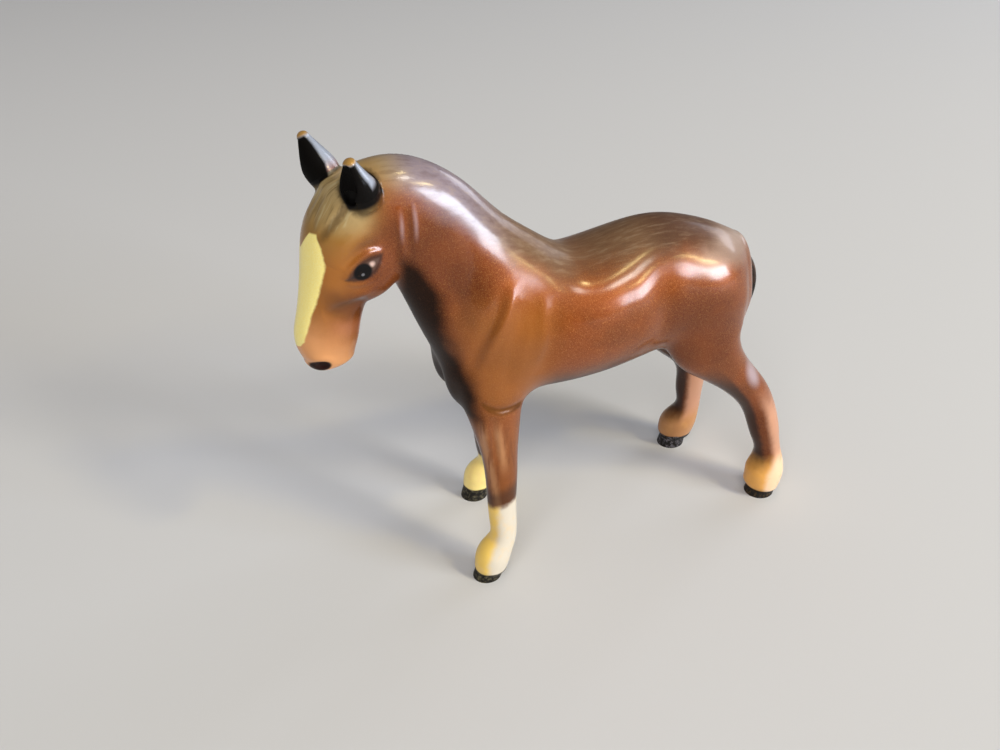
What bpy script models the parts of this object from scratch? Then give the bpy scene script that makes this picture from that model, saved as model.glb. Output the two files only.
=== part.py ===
"""Toy horse, standing: two hollow body shells, head, ears, four legs and tail.

Metres. +X is the nose end, +Y the left flank, +Z up, and the hooves rest on z = 0.
"""

import math

import bmesh
import bpy
import numpy as np
from mathutils import Matrix, Vector

# Body sizes
withers_height = 0.0786
trunk_length = 0.063
trunk_depth = 0.032
trunk_width = 0.0254
shell_wall = 0.002

# Neck and head sizes
neck_reach = 0.029
neck_rise = 0.027
neck_depth = 0.026
neck_width = 0.018
head_drop = 0.0308
head_reach = 0.0085
head_depth = 0.016
head_width = 0.013
eye_length = 0.0052
nostril_length = 0.0030
ear_length = 0.0088
ear_width = 0.0066
ear_depth = 0.0062

# Leg sizes
foreleg_depth = 0.013
foreleg_width = 0.010
foreleg_bow = 0.0027
hindleg_depth = 0.019
hindleg_width = 0.0104
hindleg_bow = 0.0044
hoof_height = 0.0028
hoof_length = 0.0070
hoof_width = 0.0064

# Where each hoof stands: forward of the top of its leg, and out from the middle
left_fore_step = 0.0026
left_fore_stance = 0.0130
right_fore_step = -0.0035
right_fore_stance = 0.0137
left_hind_step = -0.0184
left_hind_stance = 0.0140
right_hind_step = -0.0090
right_hind_stance = 0.0124

# Tail sizes
tail_length = 0.0217
tail_width = 0.0050
tail_thickness = 0.0030
tail_peg_width = 0.0016
tail_peg_length = 0.0034

# Fits
seam_gap = 0.0003
leg_peg_width = 0.0034
leg_peg_length = 0.0034
head_peg_width = 0.0064
head_peg_length = 0.0046
pin_width = 0.0018
pin_length = 0.0030

# Mesh fineness
cell = 0.0008
fillet = 0.0034
ring_points = 24
master_triangles = 6400
crop = withers_height * 2

# Trunk shares: along the length, mid height, then up, down and half width
trunk_shares = (
    (0.000, 0.722, 0.405, 0.385, 0.345),
    (0.125, 0.740, 0.485, 0.355, 0.425),
    (0.300, 0.751, 0.562, 0.425, 0.470),
    (0.460, 0.751, 0.525, 0.475, 0.500),
    (0.635, 0.745, 0.480, 0.487, 0.500),
    (0.795, 0.757, 0.550, 0.502, 0.465),
    (0.920, 0.765, 0.560, 0.470, 0.410),
    (1.000, 0.752, 0.485, 0.420, 0.340),
)
trunk_cap_share = 0.17

# Neck shares: forward, up, then crest, throat and half width
neck_shares = (
    (0.000, 0.000, 0.515, 0.615, 0.500),
    (0.240, 0.280, 0.495, 0.560, 0.455),
    (0.450, 0.555, 0.455, 0.460, 0.390),
    (0.630, 0.790, 0.420, 0.400, 0.345),
    (0.815, 0.955, 0.340, 0.370, 0.320),
    (1.000, 1.000, 0.255, 0.305, 0.310),
)
neck_root_share = (0.841, 0.822)
neck_cap_share = 0.19

# Head shares, from the poll to the muzzle: down, forward, then face, jaw and half width
head_shares = (
    (0.000, 0.000, 0.335, 0.345, 0.450),
    (0.180, 0.250, 0.400, 0.500, 0.500),
    (0.375, 0.465, 0.375, 0.565, 0.470),
    (0.570, 0.690, 0.320, 0.500, 0.375),
    (0.730, 0.835, 0.315, 0.460, 0.340),
    (0.890, 0.935, 0.315, 0.440, 0.340),
    (1.000, 0.960, 0.235, 0.390, 0.300),
)
head_cap_share = 0.20
poll_share = (0.094, 0.031)

# Muscle shares of the trunk: along, out and height of the middle, three radii, then lean in degrees
haunch_shares = (0.108, 0.200, 0.746, 0.160, 0.290, 0.365, 10.0)
shoulder_shares = (0.905, 0.252, 0.742, 0.128, 0.235, 0.470, 14.0)
breast_shares = (1.005, 0.190, 0.676, 0.088, 0.185, 0.310, 0.0)

# Cheek shares of the head: forward, out and down from the poll, three radii, then lean
cheek_shares = (-0.119, 0.169, 0.393, 0.400, 0.277, 0.234, -14.0)
eye_shares = (-0.044, 0.400, 0.364)
eye_radius_shares = (0.50, 0.26, 0.27)
eye_lean = 39.0
nostril_shares = (0.530, 0.285, 1.010)
nostril_radius_shares = (0.50, 0.24, 0.27)

# Ear shares: along, then half depth and half width
ear_shares = ((0.00, 0.42, 0.42), (0.30, 0.52, 0.49), (0.65, 0.46, 0.44), (1.00, 0.22, 0.22))
ear_cap_share = 0.20
left_ear_base_share = (-0.144, 0.346, 0.016)
left_ear_lean_share = (0.28, 0.165, 0.94)
right_ear_base_share = (0.125, 0.292, 0.055)
right_ear_lean_share = (0.34, 0.24, 0.91)
ear_cup_shares = (0.52, 0.50, 0.28, 0.29, 0.40)
ear_cup_lean = 17.0

# Leg shares: down, front, rear, half width, outwards, then the bow forwards
foreleg_shares = (
    (0.000, 0.500, 0.580, 0.500, 0.00, 0.00),
    (0.135, 0.430, 0.520, 0.490, 0.19, -0.10),
    (0.255, 0.340, 0.455, 0.410, 0.35, -0.30),
    (0.390, 0.270, 0.355, 0.340, 0.51, -0.62),
    (0.530, 0.240, 0.310, 0.300, 0.63, -0.84),
    (0.630, 0.230, 0.285, 0.280, 0.71, -0.92),
    (0.765, 0.200, 0.285, 0.270, 0.82, -1.00),
    (0.865, 0.215, 0.285, 0.290, 0.90, -0.93),
    (0.935, 0.300, 0.330, 0.355, 0.96, -0.30),
    (1.000, 0.280, 0.310, 0.340, 1.00, 0.00),
)
left_hindleg_shares = (
    (0.000, 0.475, 0.450, 0.440, 0.00, 0.00),
    (0.125, 0.545, 0.420, 0.500, 0.13, 0.65),
    (0.255, 0.395, 0.285, 0.460, 0.26, 0.40),
    (0.370, 0.275, 0.220, 0.375, 0.39, -0.25),
    (0.480, 0.215, 0.225, 0.320, 0.51, -0.78),
    (0.575, 0.195, 0.225, 0.300, 0.58, -1.00),
    (0.720, 0.175, 0.220, 0.280, 0.73, -0.95),
    (0.850, 0.175, 0.205, 0.300, 0.83, -0.80),
    (0.930, 0.275, 0.240, 0.420, 0.93, -0.50),
    (1.000, 0.260, 0.230, 0.410, 1.00, 0.00),
)
right_hindleg_bow_shares = (0.00, 0.95, 0.75, 0.08, -0.65, -0.90, -0.82, -0.66, -0.28, 0.00)
right_hindleg_shares = tuple(
    row[:5] + (bow,) for row, bow in zip(left_hindleg_shares, right_hindleg_bow_shares)
)
left_foreleg_top_share = (0.952, 0.276, 0.669)
right_foreleg_top_share = (0.937, 0.268, 0.669)
hindleg_top_share = (0.095, 0.256, 0.720)
leg_top_cap_share = 0.35
leg_foot_cap_share = 0.18
foot_share = 1.25
hoof_shares = ((1.0, 0.45, 0.45), (0.5, 0.48, 0.48), (-0.5, 0.53, 0.51))
fore_seam_share = 0.17
fore_seam_slope = 0.75
hind_seam_share = 0.25
hind_seam_slope = -0.37

# Tail shares: down the rump, behind the trunk, then inner and outer thickness and half width
tail_shares = (
    (0.000, 0.106, 0.60, 0.50, 0.40),
    (0.134, 0.153, 0.53, 0.53, 0.48),
    (0.355, 0.168, 0.47, 0.53, 0.50),
    (0.677, 0.135, 0.47, 0.47, 0.44),
    (1.000, 0.050, 0.40, 0.40, 0.30),
)
tail_top_share = 0.856
tail_cap_share = 0.6

# Hollow and pin shares: the rows that the cavity follows, and where the shells are pinned together
trunk_hollow_rows = slice(1, 7)
neck_hollow_rows = slice(0, 3)
trunk_pin_shares = ((0.032, 0.712), (1.008, 0.712))
neck_pin_share = (0.62, 0.478)
head_seam_share = (0.724, 0.850)
head_seam_lean = 7.5

half_gap = seam_gap / 2


for thing in list(bpy.data.objects):
    bpy.data.objects.remove(thing)

figure = bpy.data.collections.new("toy_horse")
guides = bpy.data.collections.new("guides")
bpy.context.scene.collection.children.link(figure)
bpy.context.scene.collection.children.link(guides)
guides.hide_render = True


def paint(name, colour, roughness, metallic):
    made = bpy.data.materials.new(name)
    made.use_nodes = True
    surface = made.node_tree.nodes["Principled BSDF"]
    surface.inputs["Base Color"].default_value = (*colour, 1)
    surface.inputs["Roughness"].default_value = roughness
    surface.inputs["Metallic"].default_value = metallic
    return made


coat = paint("coat", (0.23, 0.09, 0.04), 0.3, 0.2)
leg_coat = paint("leg_coat", (0.30, 0.14, 0.06), 0.35, 0.1)
ear_coat = paint("ear_coat", (0.06, 0.04, 0.03), 0.4, 0)
tail_coat = paint("tail_coat", (0.05, 0.03, 0.02), 0.4, 0)


def guide(name, mesh):
    made = bpy.data.objects.new(name, mesh)
    made.hide_render = True
    made.display_type = "WIRE"
    guides.objects.link(made)
    return made


def guide_from(name, shape):
    mesh = bpy.data.meshes.new(name)
    shape.to_mesh(mesh)
    shape.free()
    return guide(name, mesh)


def smooth_rows(rows, count):
    """Rows along a path made denser by cubic pieces whose slopes follow their neighbours."""
    rows = np.asarray(rows, float)
    steps = np.linalg.norm(np.diff(rows[:, :3], axis=0), axis=1)
    at = np.concatenate([[0], np.cumsum(steps)])
    slopes = np.gradient(rows, at, axis=0)
    wanted = np.linspace(0, at[-1], count)
    piece = np.clip(np.searchsorted(at, wanted, side="right") - 1, 0, len(at) - 2)
    width = (at[piece + 1] - at[piece])[:, None]
    t = (wanted - at[piece])[:, None] / width
    start = (2 * t**3 - 3 * t**2 + 1) * rows[piece] + (t**3 - 2 * t**2 + t) * width * slopes[piece]
    finish = (3 * t**2 - 2 * t**3) * rows[piece + 1] + (t**3 - t**2) * width * slopes[piece + 1]
    return start + finish


def loft(name, rows, first_cap, last_cap, points=ring_points, rings=30):
    """A closed round-ended form through oval rings.

    Each row holds the ring's middle (x, y, z), its radius on each side of the path and its half width.
    """
    dense = smooth_rows(rows, rings)
    middles = dense[:, :3]
    ways = np.gradient(middles, axis=0)
    ways[:, 1] = 0
    ways /= np.linalg.norm(ways, axis=1)[:, None]
    angles = np.linspace(0, math.tau, points, endpoint=False)
    shape = bmesh.new()

    def ring(middle, way, row, size):
        side = np.array((-way[2], 0, way[0]))
        made = []
        for angle in angles:
            reach = row[3] if math.cos(angle) > 0 else row[4]
            spot = middle + side * reach * size * math.cos(angle)
            spot = spot + np.array((0, row[5] * size * math.sin(angle), 0))
            made.append(shape.verts.new(spot))
        return made

    bends = [math.radians(angle) for angle in (68, 45, 22)]
    rounds = [ring(middles[0] - ways[0] * first_cap * math.sin(bend), ways[0], dense[0], math.cos(bend))
              for bend in bends]
    rounds += [ring(middle, way, row, 1) for middle, way, row in zip(middles, ways, dense)]
    rounds += [ring(middles[-1] + ways[-1] * last_cap * math.sin(bend), ways[-1], dense[-1], math.cos(bend))
               for bend in reversed(bends)]
    for near, far in zip(rounds, rounds[1:]):
        for i in range(points):
            j = (i + 1) % points
            shape.faces.new((near[i], near[j], far[j], far[i]))
    for closing, pole in ((rounds[0], middles[0] - ways[0] * first_cap),
                          (rounds[-1], middles[-1] + ways[-1] * last_cap)):
        tip = shape.verts.new(pole)
        for i in range(points):
            shape.faces.new((closing[i], closing[(i + 1) % points], tip))
    bmesh.ops.recalc_face_normals(shape, faces=shape.faces)
    return guide_from(name, shape)


def ball(name, middle, radii, lean=0, twist=0, detail=20):
    """An ellipsoid, leant about the axis across the figure and twisted about the upright one."""
    shape = bmesh.new()
    turn = Matrix.Rotation(math.radians(twist), 4, "Z") @ Matrix.Rotation(math.radians(lean), 4, "Y")
    place = Matrix.Translation(middle) @ turn @ Matrix.Diagonal((*radii, 1))
    bmesh.ops.create_uvsphere(shape, u_segments=detail, v_segments=detail // 2, radius=1, matrix=place)
    return guide_from(name, shape)


def block(name, low, high, turn=None, pivot=None):
    """A box between two corners, turned about a pivot if one is given."""
    low, high = Vector(low), Vector(high)
    place = Matrix.Translation((low + high) / 2) @ Matrix.Diagonal((*(high - low), 1))
    if turn is not None:
        place = Matrix.Translation(pivot) @ turn @ place
    shape = bmesh.new()
    bmesh.ops.create_cube(shape, size=1, matrix=place)
    return guide_from(name, shape)


def rod(name, start, way, length, width, points=20):
    """A round bar from its start along a direction."""
    way = Vector(way).normalized()
    place = Matrix.Translation(Vector(start) + way * length / 2)
    place = place @ way.to_track_quat("Z", "Y").to_matrix().to_4x4()
    shape = bmesh.new()
    bmesh.ops.create_cone(shape, cap_ends=True, segments=points, radius1=width / 2,
                          radius2=width / 2, depth=length, matrix=place)
    return guide_from(name, shape)


def settled(made):
    """The object's mesh with its modifiers made real."""
    bpy.context.view_layer.update()
    graph = bpy.context.evaluated_depsgraph_get()
    mesh = bpy.data.meshes.new_from_object(made.evaluated_get(graph))
    made.modifiers.clear()
    made.data = mesh
    return made


def joined(name, parts):
    """The parts' faces in one mesh, not yet fused."""
    shape = bmesh.new()
    for part in parts:
        shape.from_mesh(part.data)
    return guide_from(name, shape)


def remeshed(made, size):
    step = made.modifiers.new("remesh", "REMESH")
    step.mode = "VOXEL"
    step.voxel_size = size
    return settled(made)


def swollen(made, amount):
    step = made.modifiers.new("swell", "DISPLACE")
    step.mid_level = 0
    step.strength = amount
    return settled(made)


def smoothed(made, rounds, factor=0.5):
    step = made.modifiers.new("smooth", "SMOOTH")
    step.factor = factor
    step.iterations = rounds
    return settled(made)


def thinned(made, triangles):
    step = made.modifiers.new("thin", "DECIMATE")
    made.data.calc_loop_triangles()
    step.ratio = min(1, triangles / len(made.data.loop_triangles))
    return settled(made)


def outer_skin(made):
    """Only the largest connected skin, without the small voids that fusing can leave inside."""
    shape = bmesh.new()
    shape.from_mesh(made.data)
    waiting = set(shape.verts)
    skins = []
    while waiting:
        edge_of_skin = [waiting.pop()]
        skin = list(edge_of_skin)
        while edge_of_skin:
            point = edge_of_skin.pop()
            near = {edge.other_vert(point) for edge in point.link_edges} & waiting
            waiting -= near
            skin.extend(near)
            edge_of_skin.extend(near)
        skins.append(skin)
    skins.sort(key=len)
    for skin in skins[:-1]:
        bmesh.ops.delete(shape, geom=skin, context="VERTS")
    shape.to_mesh(made.data)
    shape.free()
    return made


def combine(made, other, operation):
    step = made.modifiers.new(operation.lower(), "BOOLEAN")
    step.operation = operation
    step.solver = "EXACT"
    step.object = other
    return settled(made)


def copied(name, made):
    return guide(name, made.data.copy())


# Points that the pieces share
def trunk_spot(along, out, height):
    return Vector((along * trunk_length, out * trunk_width, height * withers_height))


neck_root = trunk_spot(neck_root_share[0], 0, neck_root_share[1])
neck_end = neck_root + Vector((neck_reach, 0, neck_rise))
poll = neck_end + Vector((poll_share[0] * head_depth, 0, poll_share[1] * head_depth))


def trunk_rows(inset, chosen=slice(None)):
    return [
        (along * trunk_length, 0, middle * withers_height, up * trunk_depth - inset,
         down * trunk_depth - inset, half * trunk_width - inset)
        for along, middle, up, down, half in trunk_shares[chosen]
    ]


def neck_rows(inset, chosen=slice(None)):
    return [
        (neck_root.x + forward * neck_reach, 0, neck_root.z + up * neck_rise, crest * neck_depth - inset,
         throat * neck_depth - inset, half * neck_width - inset)
        for forward, up, crest, throat, half in neck_shares[chosen]
    ]


def head_spot(forward, out, down):
    return poll + Vector((forward * head_depth, out * head_width, -down * head_drop))


# Trunk, neck, muscles and legs, still separate forms
trunk = loft("trunk_form", trunk_rows(0), trunk_cap_share * trunk_depth, trunk_cap_share * trunk_depth)
neck = loft("neck_form", neck_rows(0), neck_cap_share * neck_depth, neck_cap_share * neck_depth)
head_rows = [
    (poll.x + forward * head_reach, 0, poll.z - down * head_drop, face * head_depth, jaw * head_depth,
     half * head_width)
    for down, forward, face, jaw, half in head_shares
]
head_form = loft("head_form", head_rows, head_cap_share * head_depth, head_cap_share * head_depth)


def muscles(name, shares, spot, sizes):
    made = []
    for side in (1, -1):
        first, second, third = spot(shares[0], side * shares[1], shares[2])
        radii = [share * size for share, size in zip(shares[3:6], sizes)]
        made.append(ball(f"{name}_{side}", (first, second, third), radii, lean=shares[6]))
    return made


trunk_sizes = (trunk_length, trunk_width, trunk_depth)
masses = [trunk, neck]
masses += muscles("haunch", haunch_shares, trunk_spot, trunk_sizes)
masses += muscles("shoulder", shoulder_shares, trunk_spot, trunk_sizes)
masses += muscles("breast", breast_shares, trunk_spot, trunk_sizes)
cheeks = muscles("cheek", cheek_shares, head_spot, (head_depth, head_width, head_drop))


class Leg:
    """The top, foot and path of one leg. The side is 1 on the left and -1 on the right."""

    def __init__(self, name, side, top_share, step, stance, rows, sizes):
        self.name = name
        self.side = side
        self.top = trunk_spot(top_share[0], side * top_share[1], top_share[2])
        self.foot = Vector((self.top.x + step, side * stance, foot_share * hoof_height))
        self.depth, self.width, self.bow = sizes
        self.rows = rows

    def middle(self, down, outwards, bow):
        return Vector((
            self.top.x + down * (self.foot.x - self.top.x) + bow * self.bow,
            self.top.y + outwards * (self.foot.y - self.top.y),
            self.top.z + down * (self.foot.z - self.top.z),
        ))

    def form(self):
        rows = [
            (*self.middle(down, outwards, bow), front * self.depth, rear * self.depth, half * self.width)
            for down, front, rear, half, outwards, bow in self.rows
        ]
        return loft(f"{self.name}_form", rows, leg_top_cap_share * self.depth,
                    leg_foot_cap_share * self.depth, rings=36)

    def hoof(self):
        rows = [
            (self.foot.x, self.foot.y, up * hoof_height, length * hoof_length, length * hoof_length,
             half * hoof_width)
            for up, length, half in hoof_shares
        ]
        cap = hoof_height / 7
        return loft(f"{self.name}_hoof_form", rows, cap, cap, rings=8)

    def at(self, share):
        """The middle of the leg at a share of the way down."""
        rows = np.array(self.rows)
        outwards = np.interp(share, rows[:, 0], rows[:, 4])
        bow = np.interp(share, rows[:, 0], rows[:, 5])
        return self.middle(share, outwards, bow)


legs = {
    "left_foreleg": Leg("left_foreleg", 1, left_foreleg_top_share, left_fore_step, left_fore_stance,
                        foreleg_shares, (foreleg_depth, foreleg_width, foreleg_bow)),
    "right_foreleg": Leg("right_foreleg", -1, right_foreleg_top_share, right_fore_step, right_fore_stance,
                         foreleg_shares, (foreleg_depth, foreleg_width, foreleg_bow)),
    "left_hind_leg": Leg("left_hind_leg", 1, hindleg_top_share, left_hind_step, left_hind_stance,
                         left_hindleg_shares, (hindleg_depth, hindleg_width, hindleg_bow)),
    "right_hind_leg": Leg("right_hind_leg", -1, hindleg_top_share, right_hind_step, right_hind_stance,
                          right_hindleg_shares, (hindleg_depth, hindleg_width, hindleg_bow)),
}
masses += [leg.form() for leg in legs.values()]

# Fuse the masses: swelling them, joining and shrinking back leaves filled corners between them
master = remeshed(joined("master", masses), cell)
swollen(master, fillet)
remeshed(master, cell)
swollen(master, -fillet)
smoothed(master, 3)
master = joined("master", [master, head_form, *cheeks, *[leg.hoof() for leg in legs.values()]])
remeshed(master, cell)
outer_skin(master)
smoothed(master, 2)
thinned(master, master_triangles)

# Ears and tail, each one closed form
def ear_form(name, side, base_share, lean_share):
    base = poll + Vector((base_share[0] * head_depth, side * base_share[1] * head_width,
                          base_share[2] * head_drop))
    way = Vector((lean_share[0], side * lean_share[1], lean_share[2])).normalized()
    rows = [
        (*(base + way * along * ear_length), deep * ear_depth, deep * ear_depth, wide * ear_width)
        for along, deep, wide in ear_shares
    ]
    cap = ear_cap_share * ear_depth
    form = loft(f"{name}_form", rows, cap, cap, points=16, rings=10)
    up, forward, deep, wide, tall = ear_cup_shares
    middle = base + way * up * ear_length + Vector((forward * ear_depth, 0, 0))
    cup = ball(f"{name}_cup", middle, (deep * ear_depth, wide * ear_width, tall * ear_length),
               lean=ear_cup_lean, detail=16)
    return form, cup


ears = {
    "left_ear": ear_form("left_ear", 1, left_ear_base_share, left_ear_lean_share),
    "right_ear": ear_form("right_ear", -1, right_ear_base_share, right_ear_lean_share),
}
tail_top = tail_top_share * withers_height
tail_rows = [
    (-behind * trunk_depth, 0, tail_top - down * tail_length, inner * tail_thickness,
     outer * tail_thickness, half * tail_width)
    for down, behind, inner, outer, half in tail_shares
]
tail_form = loft("tail_form", tail_rows, tail_cap_share * tail_thickness,
                 tail_cap_share * tail_thickness, points=16, rings=16)


def prism(name, outline, axis, start, finish):
    """A straight bar whose end is an outline in (x, z) or (y, z), along the remaining level axis."""
    shape = bmesh.new()
    if axis == "y":
        corners = [shape.verts.new((across, start, up)) for across, up in outline]
        way = Vector((0, finish - start, 0))
    else:
        corners = [shape.verts.new((start, across, up)) for across, up in outline]
        way = Vector((finish - start, 0, 0))
    face = shape.faces.new(corners)
    grown = bmesh.ops.extrude_face_region(shape, geom=[face])
    moved = [part for part in grown["geom"] if isinstance(part, bmesh.types.BMVert)]
    bmesh.ops.translate(shape, verts=moved, vec=way)
    bmesh.ops.recalc_face_normals(shape, faces=shape.faces)
    return guide_from(name, shape)


waist = trunk_length / 2


class Seam:
    """Where a leg meets its shell: a plane, and a round peg square to it."""

    def __init__(self, leg, fore):
        self.leg = leg
        self.fore = fore
        self.pivot = leg.at(fore_seam_share if fore else hind_seam_share)
        slope = fore_seam_slope * leg.side if fore else hind_seam_slope
        self.slope = slope
        level = Vector((0, -slope, 1)) if fore else Vector((-slope, 0, 1))
        self.stretch = level.length
        self.way = level.normalized()

    def region(self, name, rise, bottom):
        """All of the figure on this leg's side of the seam plane, moved up by a rise."""
        lift = rise * self.stretch
        if self.fore:
            edges = (0, self.leg.side * crop)
            tops = [self.pivot.z + self.slope * (edge - self.pivot.y) + lift for edge in edges]
        else:
            edges = (-crop, waist)
            tops = [self.pivot.z + self.slope * (edge - self.pivot.x) + lift for edge in edges]
        outline = [(edges[0], bottom), (edges[1], bottom), (edges[1], tops[1]), (edges[0], tops[0])]
        if self.fore:
            return prism(name, outline, "x", waist, crop)
        return prism(name, outline, "y", 0, self.leg.side * crop)

    def peg(self, name):
        start = self.pivot - self.way * leg_peg_length
        return rod(name, start, self.way, leg_peg_length * 2, leg_peg_width)

    def socket(self, name):
        length = leg_peg_length + seam_gap
        start = self.pivot - self.way * length
        return rod(name, start, self.way, length * 2, leg_peg_width + seam_gap * 2)


seams = {name: Seam(leg, "fore" in name) for name, leg in legs.items()}

head_pivot = neck_root + Vector((head_seam_share[0] * neck_reach, 0, head_seam_share[1] * neck_rise))
head_turn = Matrix.Rotation(math.radians(-head_seam_lean), 4, "Y")
head_way = head_turn @ Vector((1, 0, 0))


def head_region(name, shift):
    return block(name, (shift, -crop, -crop), (crop, crop, crop), turn=head_turn, pivot=head_pivot)


# The body: the master without head, legs, cavity, tail channel and peg holes
body = copied("body", master)
combine(body, head_region("head_cut", -half_gap), "DIFFERENCE")
for name, seam in seams.items():
    combine(body, seam.region(f"{name}_cut", half_gap, -crop), "DIFFERENCE")
    combine(body, seam.socket(f"{name}_socket"), "DIFFERENCE")
trunk_hollow = loft("trunk_hollow", trunk_rows(shell_wall, trunk_hollow_rows), shell_wall, shell_wall,
                    points=14, rings=9)
neck_hollow = loft("neck_hollow", neck_rows(shell_wall, neck_hollow_rows), shell_wall, shell_wall,
                   points=14, rings=5)
combine(trunk_hollow, neck_hollow, "UNION")
combine(body, trunk_hollow, "DIFFERENCE")

head_socket = rod("head_socket", head_pivot + head_way * head_peg_length, -head_way,
                  head_peg_length * 2 + seam_gap, head_peg_width + seam_gap * 2)
combine(body, head_socket, "DIFFERENCE")
combine(body, swollen(copied("tail_channel", tail_form), seam_gap), "DIFFERENCE")
tail_spot = Vector(tail_rows[1][:3])
tail_socket = rod("tail_socket", tail_spot, (1, 0, 0), tail_peg_length + seam_gap * 2,
                  tail_peg_width + seam_gap * 2)
combine(body, tail_socket, "DIFFERENCE")

pin_spots = [trunk_spot(along, 0, height) for along, height in trunk_pin_shares]
pin_spots.append(neck_root + Vector((neck_pin_share[0] * neck_reach, 0, neck_pin_share[1] * neck_rise)))

pieces = {}
left_half = block("left_half", (-crop, half_gap, -crop), (crop, crop, crop))
right_half = block("right_half", (-crop, -crop, -crop), (crop, -half_gap, crop))
pieces["body_left_shell"] = combine(copied("left_body", body), left_half, "INTERSECT")
pieces["body_right_shell"] = combine(copied("right_body", body), right_half, "INTERSECT")
for number, spot in enumerate(pin_spots):
    pin = rod(f"pin_{number}", spot + Vector((0, pin_length, 0)), (0, -1, 0), pin_length * 2, pin_width,
              points=12)
    hole = rod(f"pin_hole_{number}", spot + Vector((0, pin_length, 0)), (0, -1, 0),
               pin_length * 2 + seam_gap, pin_width + seam_gap * 2, points=12)
    combine(pieces["body_left_shell"], pin, "UNION")
    combine(pieces["body_right_shell"], hole, "DIFFERENCE")

# The head, with its peg, eyes, nostrils and ear sockets
head = combine(copied("head_piece", master), head_region("head_keep", half_gap), "INTERSECT")
head_peg = rod("head_peg", head_pivot + head_way * head_peg_length, -head_way, head_peg_length * 2,
               head_peg_width)
combine(head, head_peg, "UNION")
for side in (1, -1):
    forward, out, down = eye_shares
    radii = [share * eye_length for share in eye_radius_shares]
    eye = ball(f"eye_{side}", head_spot(forward, side * out, down), radii, lean=eye_lean, detail=16)
    combine(head, eye, "UNION")
    forward, out, down = nostril_shares
    radii = [share * nostril_length for share in nostril_radius_shares]
    nostril = ball(f"nostril_{side}", head_spot(forward, side * out, down), radii, lean=0, detail=12)
    combine(head, nostril, "DIFFERENCE")
for name, (form, cup) in ears.items():
    combine(head, swollen(copied(f"{name}_socket", form), seam_gap), "DIFFERENCE")
    pieces[name] = combine(copied(f"{name}_piece", form), cup, "DIFFERENCE")
pieces["head"] = head

# The legs, with flat soles and a peg each, and the tail with its peg
for name, seam in seams.items():
    leg = combine(copied(f"{name}_piece", master), seam.region(f"{name}_keep", -half_gap, 0), "INTERSECT")
    pieces[name] = combine(leg, seam.peg(f"{name}_peg"), "UNION")
tail_peg = rod("tail_peg", tail_spot, (1, 0, 0), tail_peg_length + seam_gap, tail_peg_width)
pieces["tail"] = combine(copied("tail_piece", tail_form), tail_peg, "UNION")

# Rest the middle of the whole figure over the origin
points = np.array([point.co for piece in pieces.values() for point in piece.data.vertices])
middle = (points.min(axis=0) + points.max(axis=0)) / 2
shift = Vector((-middle[0], -middle[1], 0))
paints = {"left_ear": ear_coat, "right_ear": ear_coat, "tail": tail_coat}
for name, piece in pieces.items():
    guides.objects.unlink(piece)
    figure.objects.link(piece)
    piece.name = name
    piece.hide_render = False
    piece.display_type = "SOLID"
    piece.data.transform(Matrix.Translation(shift))
    piece.data.materials.clear()
    piece.data.materials.append(paints.get(name, leg_coat if "leg" in name else coat))
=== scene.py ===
# %% [markdown]
# # A painted toy horse
#
# The figure is a standing horse, 114 mm long. A maker would mould it in plastic as ten pieces, glue them
# together, spray them with pearl paint and dip them in clear lacquer. The model of those pieces is loaded
# first, because everything that follows has to stay in its place.

import bmesh
import bpy
import numpy as np
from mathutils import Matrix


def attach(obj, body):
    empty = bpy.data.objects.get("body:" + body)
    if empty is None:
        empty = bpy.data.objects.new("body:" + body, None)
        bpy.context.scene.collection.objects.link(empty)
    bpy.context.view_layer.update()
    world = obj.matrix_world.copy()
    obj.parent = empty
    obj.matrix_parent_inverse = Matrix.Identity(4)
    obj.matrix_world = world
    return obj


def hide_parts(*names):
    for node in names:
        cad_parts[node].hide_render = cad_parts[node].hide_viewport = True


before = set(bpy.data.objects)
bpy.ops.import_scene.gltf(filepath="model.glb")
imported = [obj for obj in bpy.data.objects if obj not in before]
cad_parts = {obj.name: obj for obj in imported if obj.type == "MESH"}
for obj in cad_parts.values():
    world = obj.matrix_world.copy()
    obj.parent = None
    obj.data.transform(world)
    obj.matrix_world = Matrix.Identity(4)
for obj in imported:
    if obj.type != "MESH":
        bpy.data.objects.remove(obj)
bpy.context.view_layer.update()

import openvdb
from mathutils import Matrix, Vector

print("checked pieces:", ", ".join(sorted(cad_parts)))

# %% [markdown]
# ## How the shape is made
#
# A moulded animal has no straight edge anywhere. One round form flows into the next, and muscles, lids and
# hair are shallow dents and ridges on them. Such a shape could be pushed out of a subdivided cage of faces,
# but a dent then needs faces that follow it. Here the horse is a field instead: a number at each corner of a
# fine lattice that says how far the surface is, below 0 inside. Round forms melt together where their numbers
# are blended, and a dent is a small number added along a line. OpenVDB then finds the surface where the field
# is 0.
#
# The horse is drawn in millimetres: x forward, y to its left side, z up from the ground. `set_down` moves the
# drawing onto the pieces of model.glb.

# %% Units
millimetre = 0.001
set_down = np.array([-6.365, -0.589, 0.0])
far = 50.0
rough_step, body_step, head_step, ear_step, leg_step = 0.8, 0.4, 0.2, 0.13, 0.27
stroke_points = 36
# where the glued joints of the legs lie, as shares of the way down
elbow_share, thigh_share = 0.17, 0.25


def metres(points):
    return (np.asarray(points, float) + set_down) * millimetre


def add_object(name, data):
    """Puts an object into the scene."""
    made = bpy.data.objects.new(name, data)
    bpy.context.scene.collection.objects.link(made)
    return made


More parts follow.
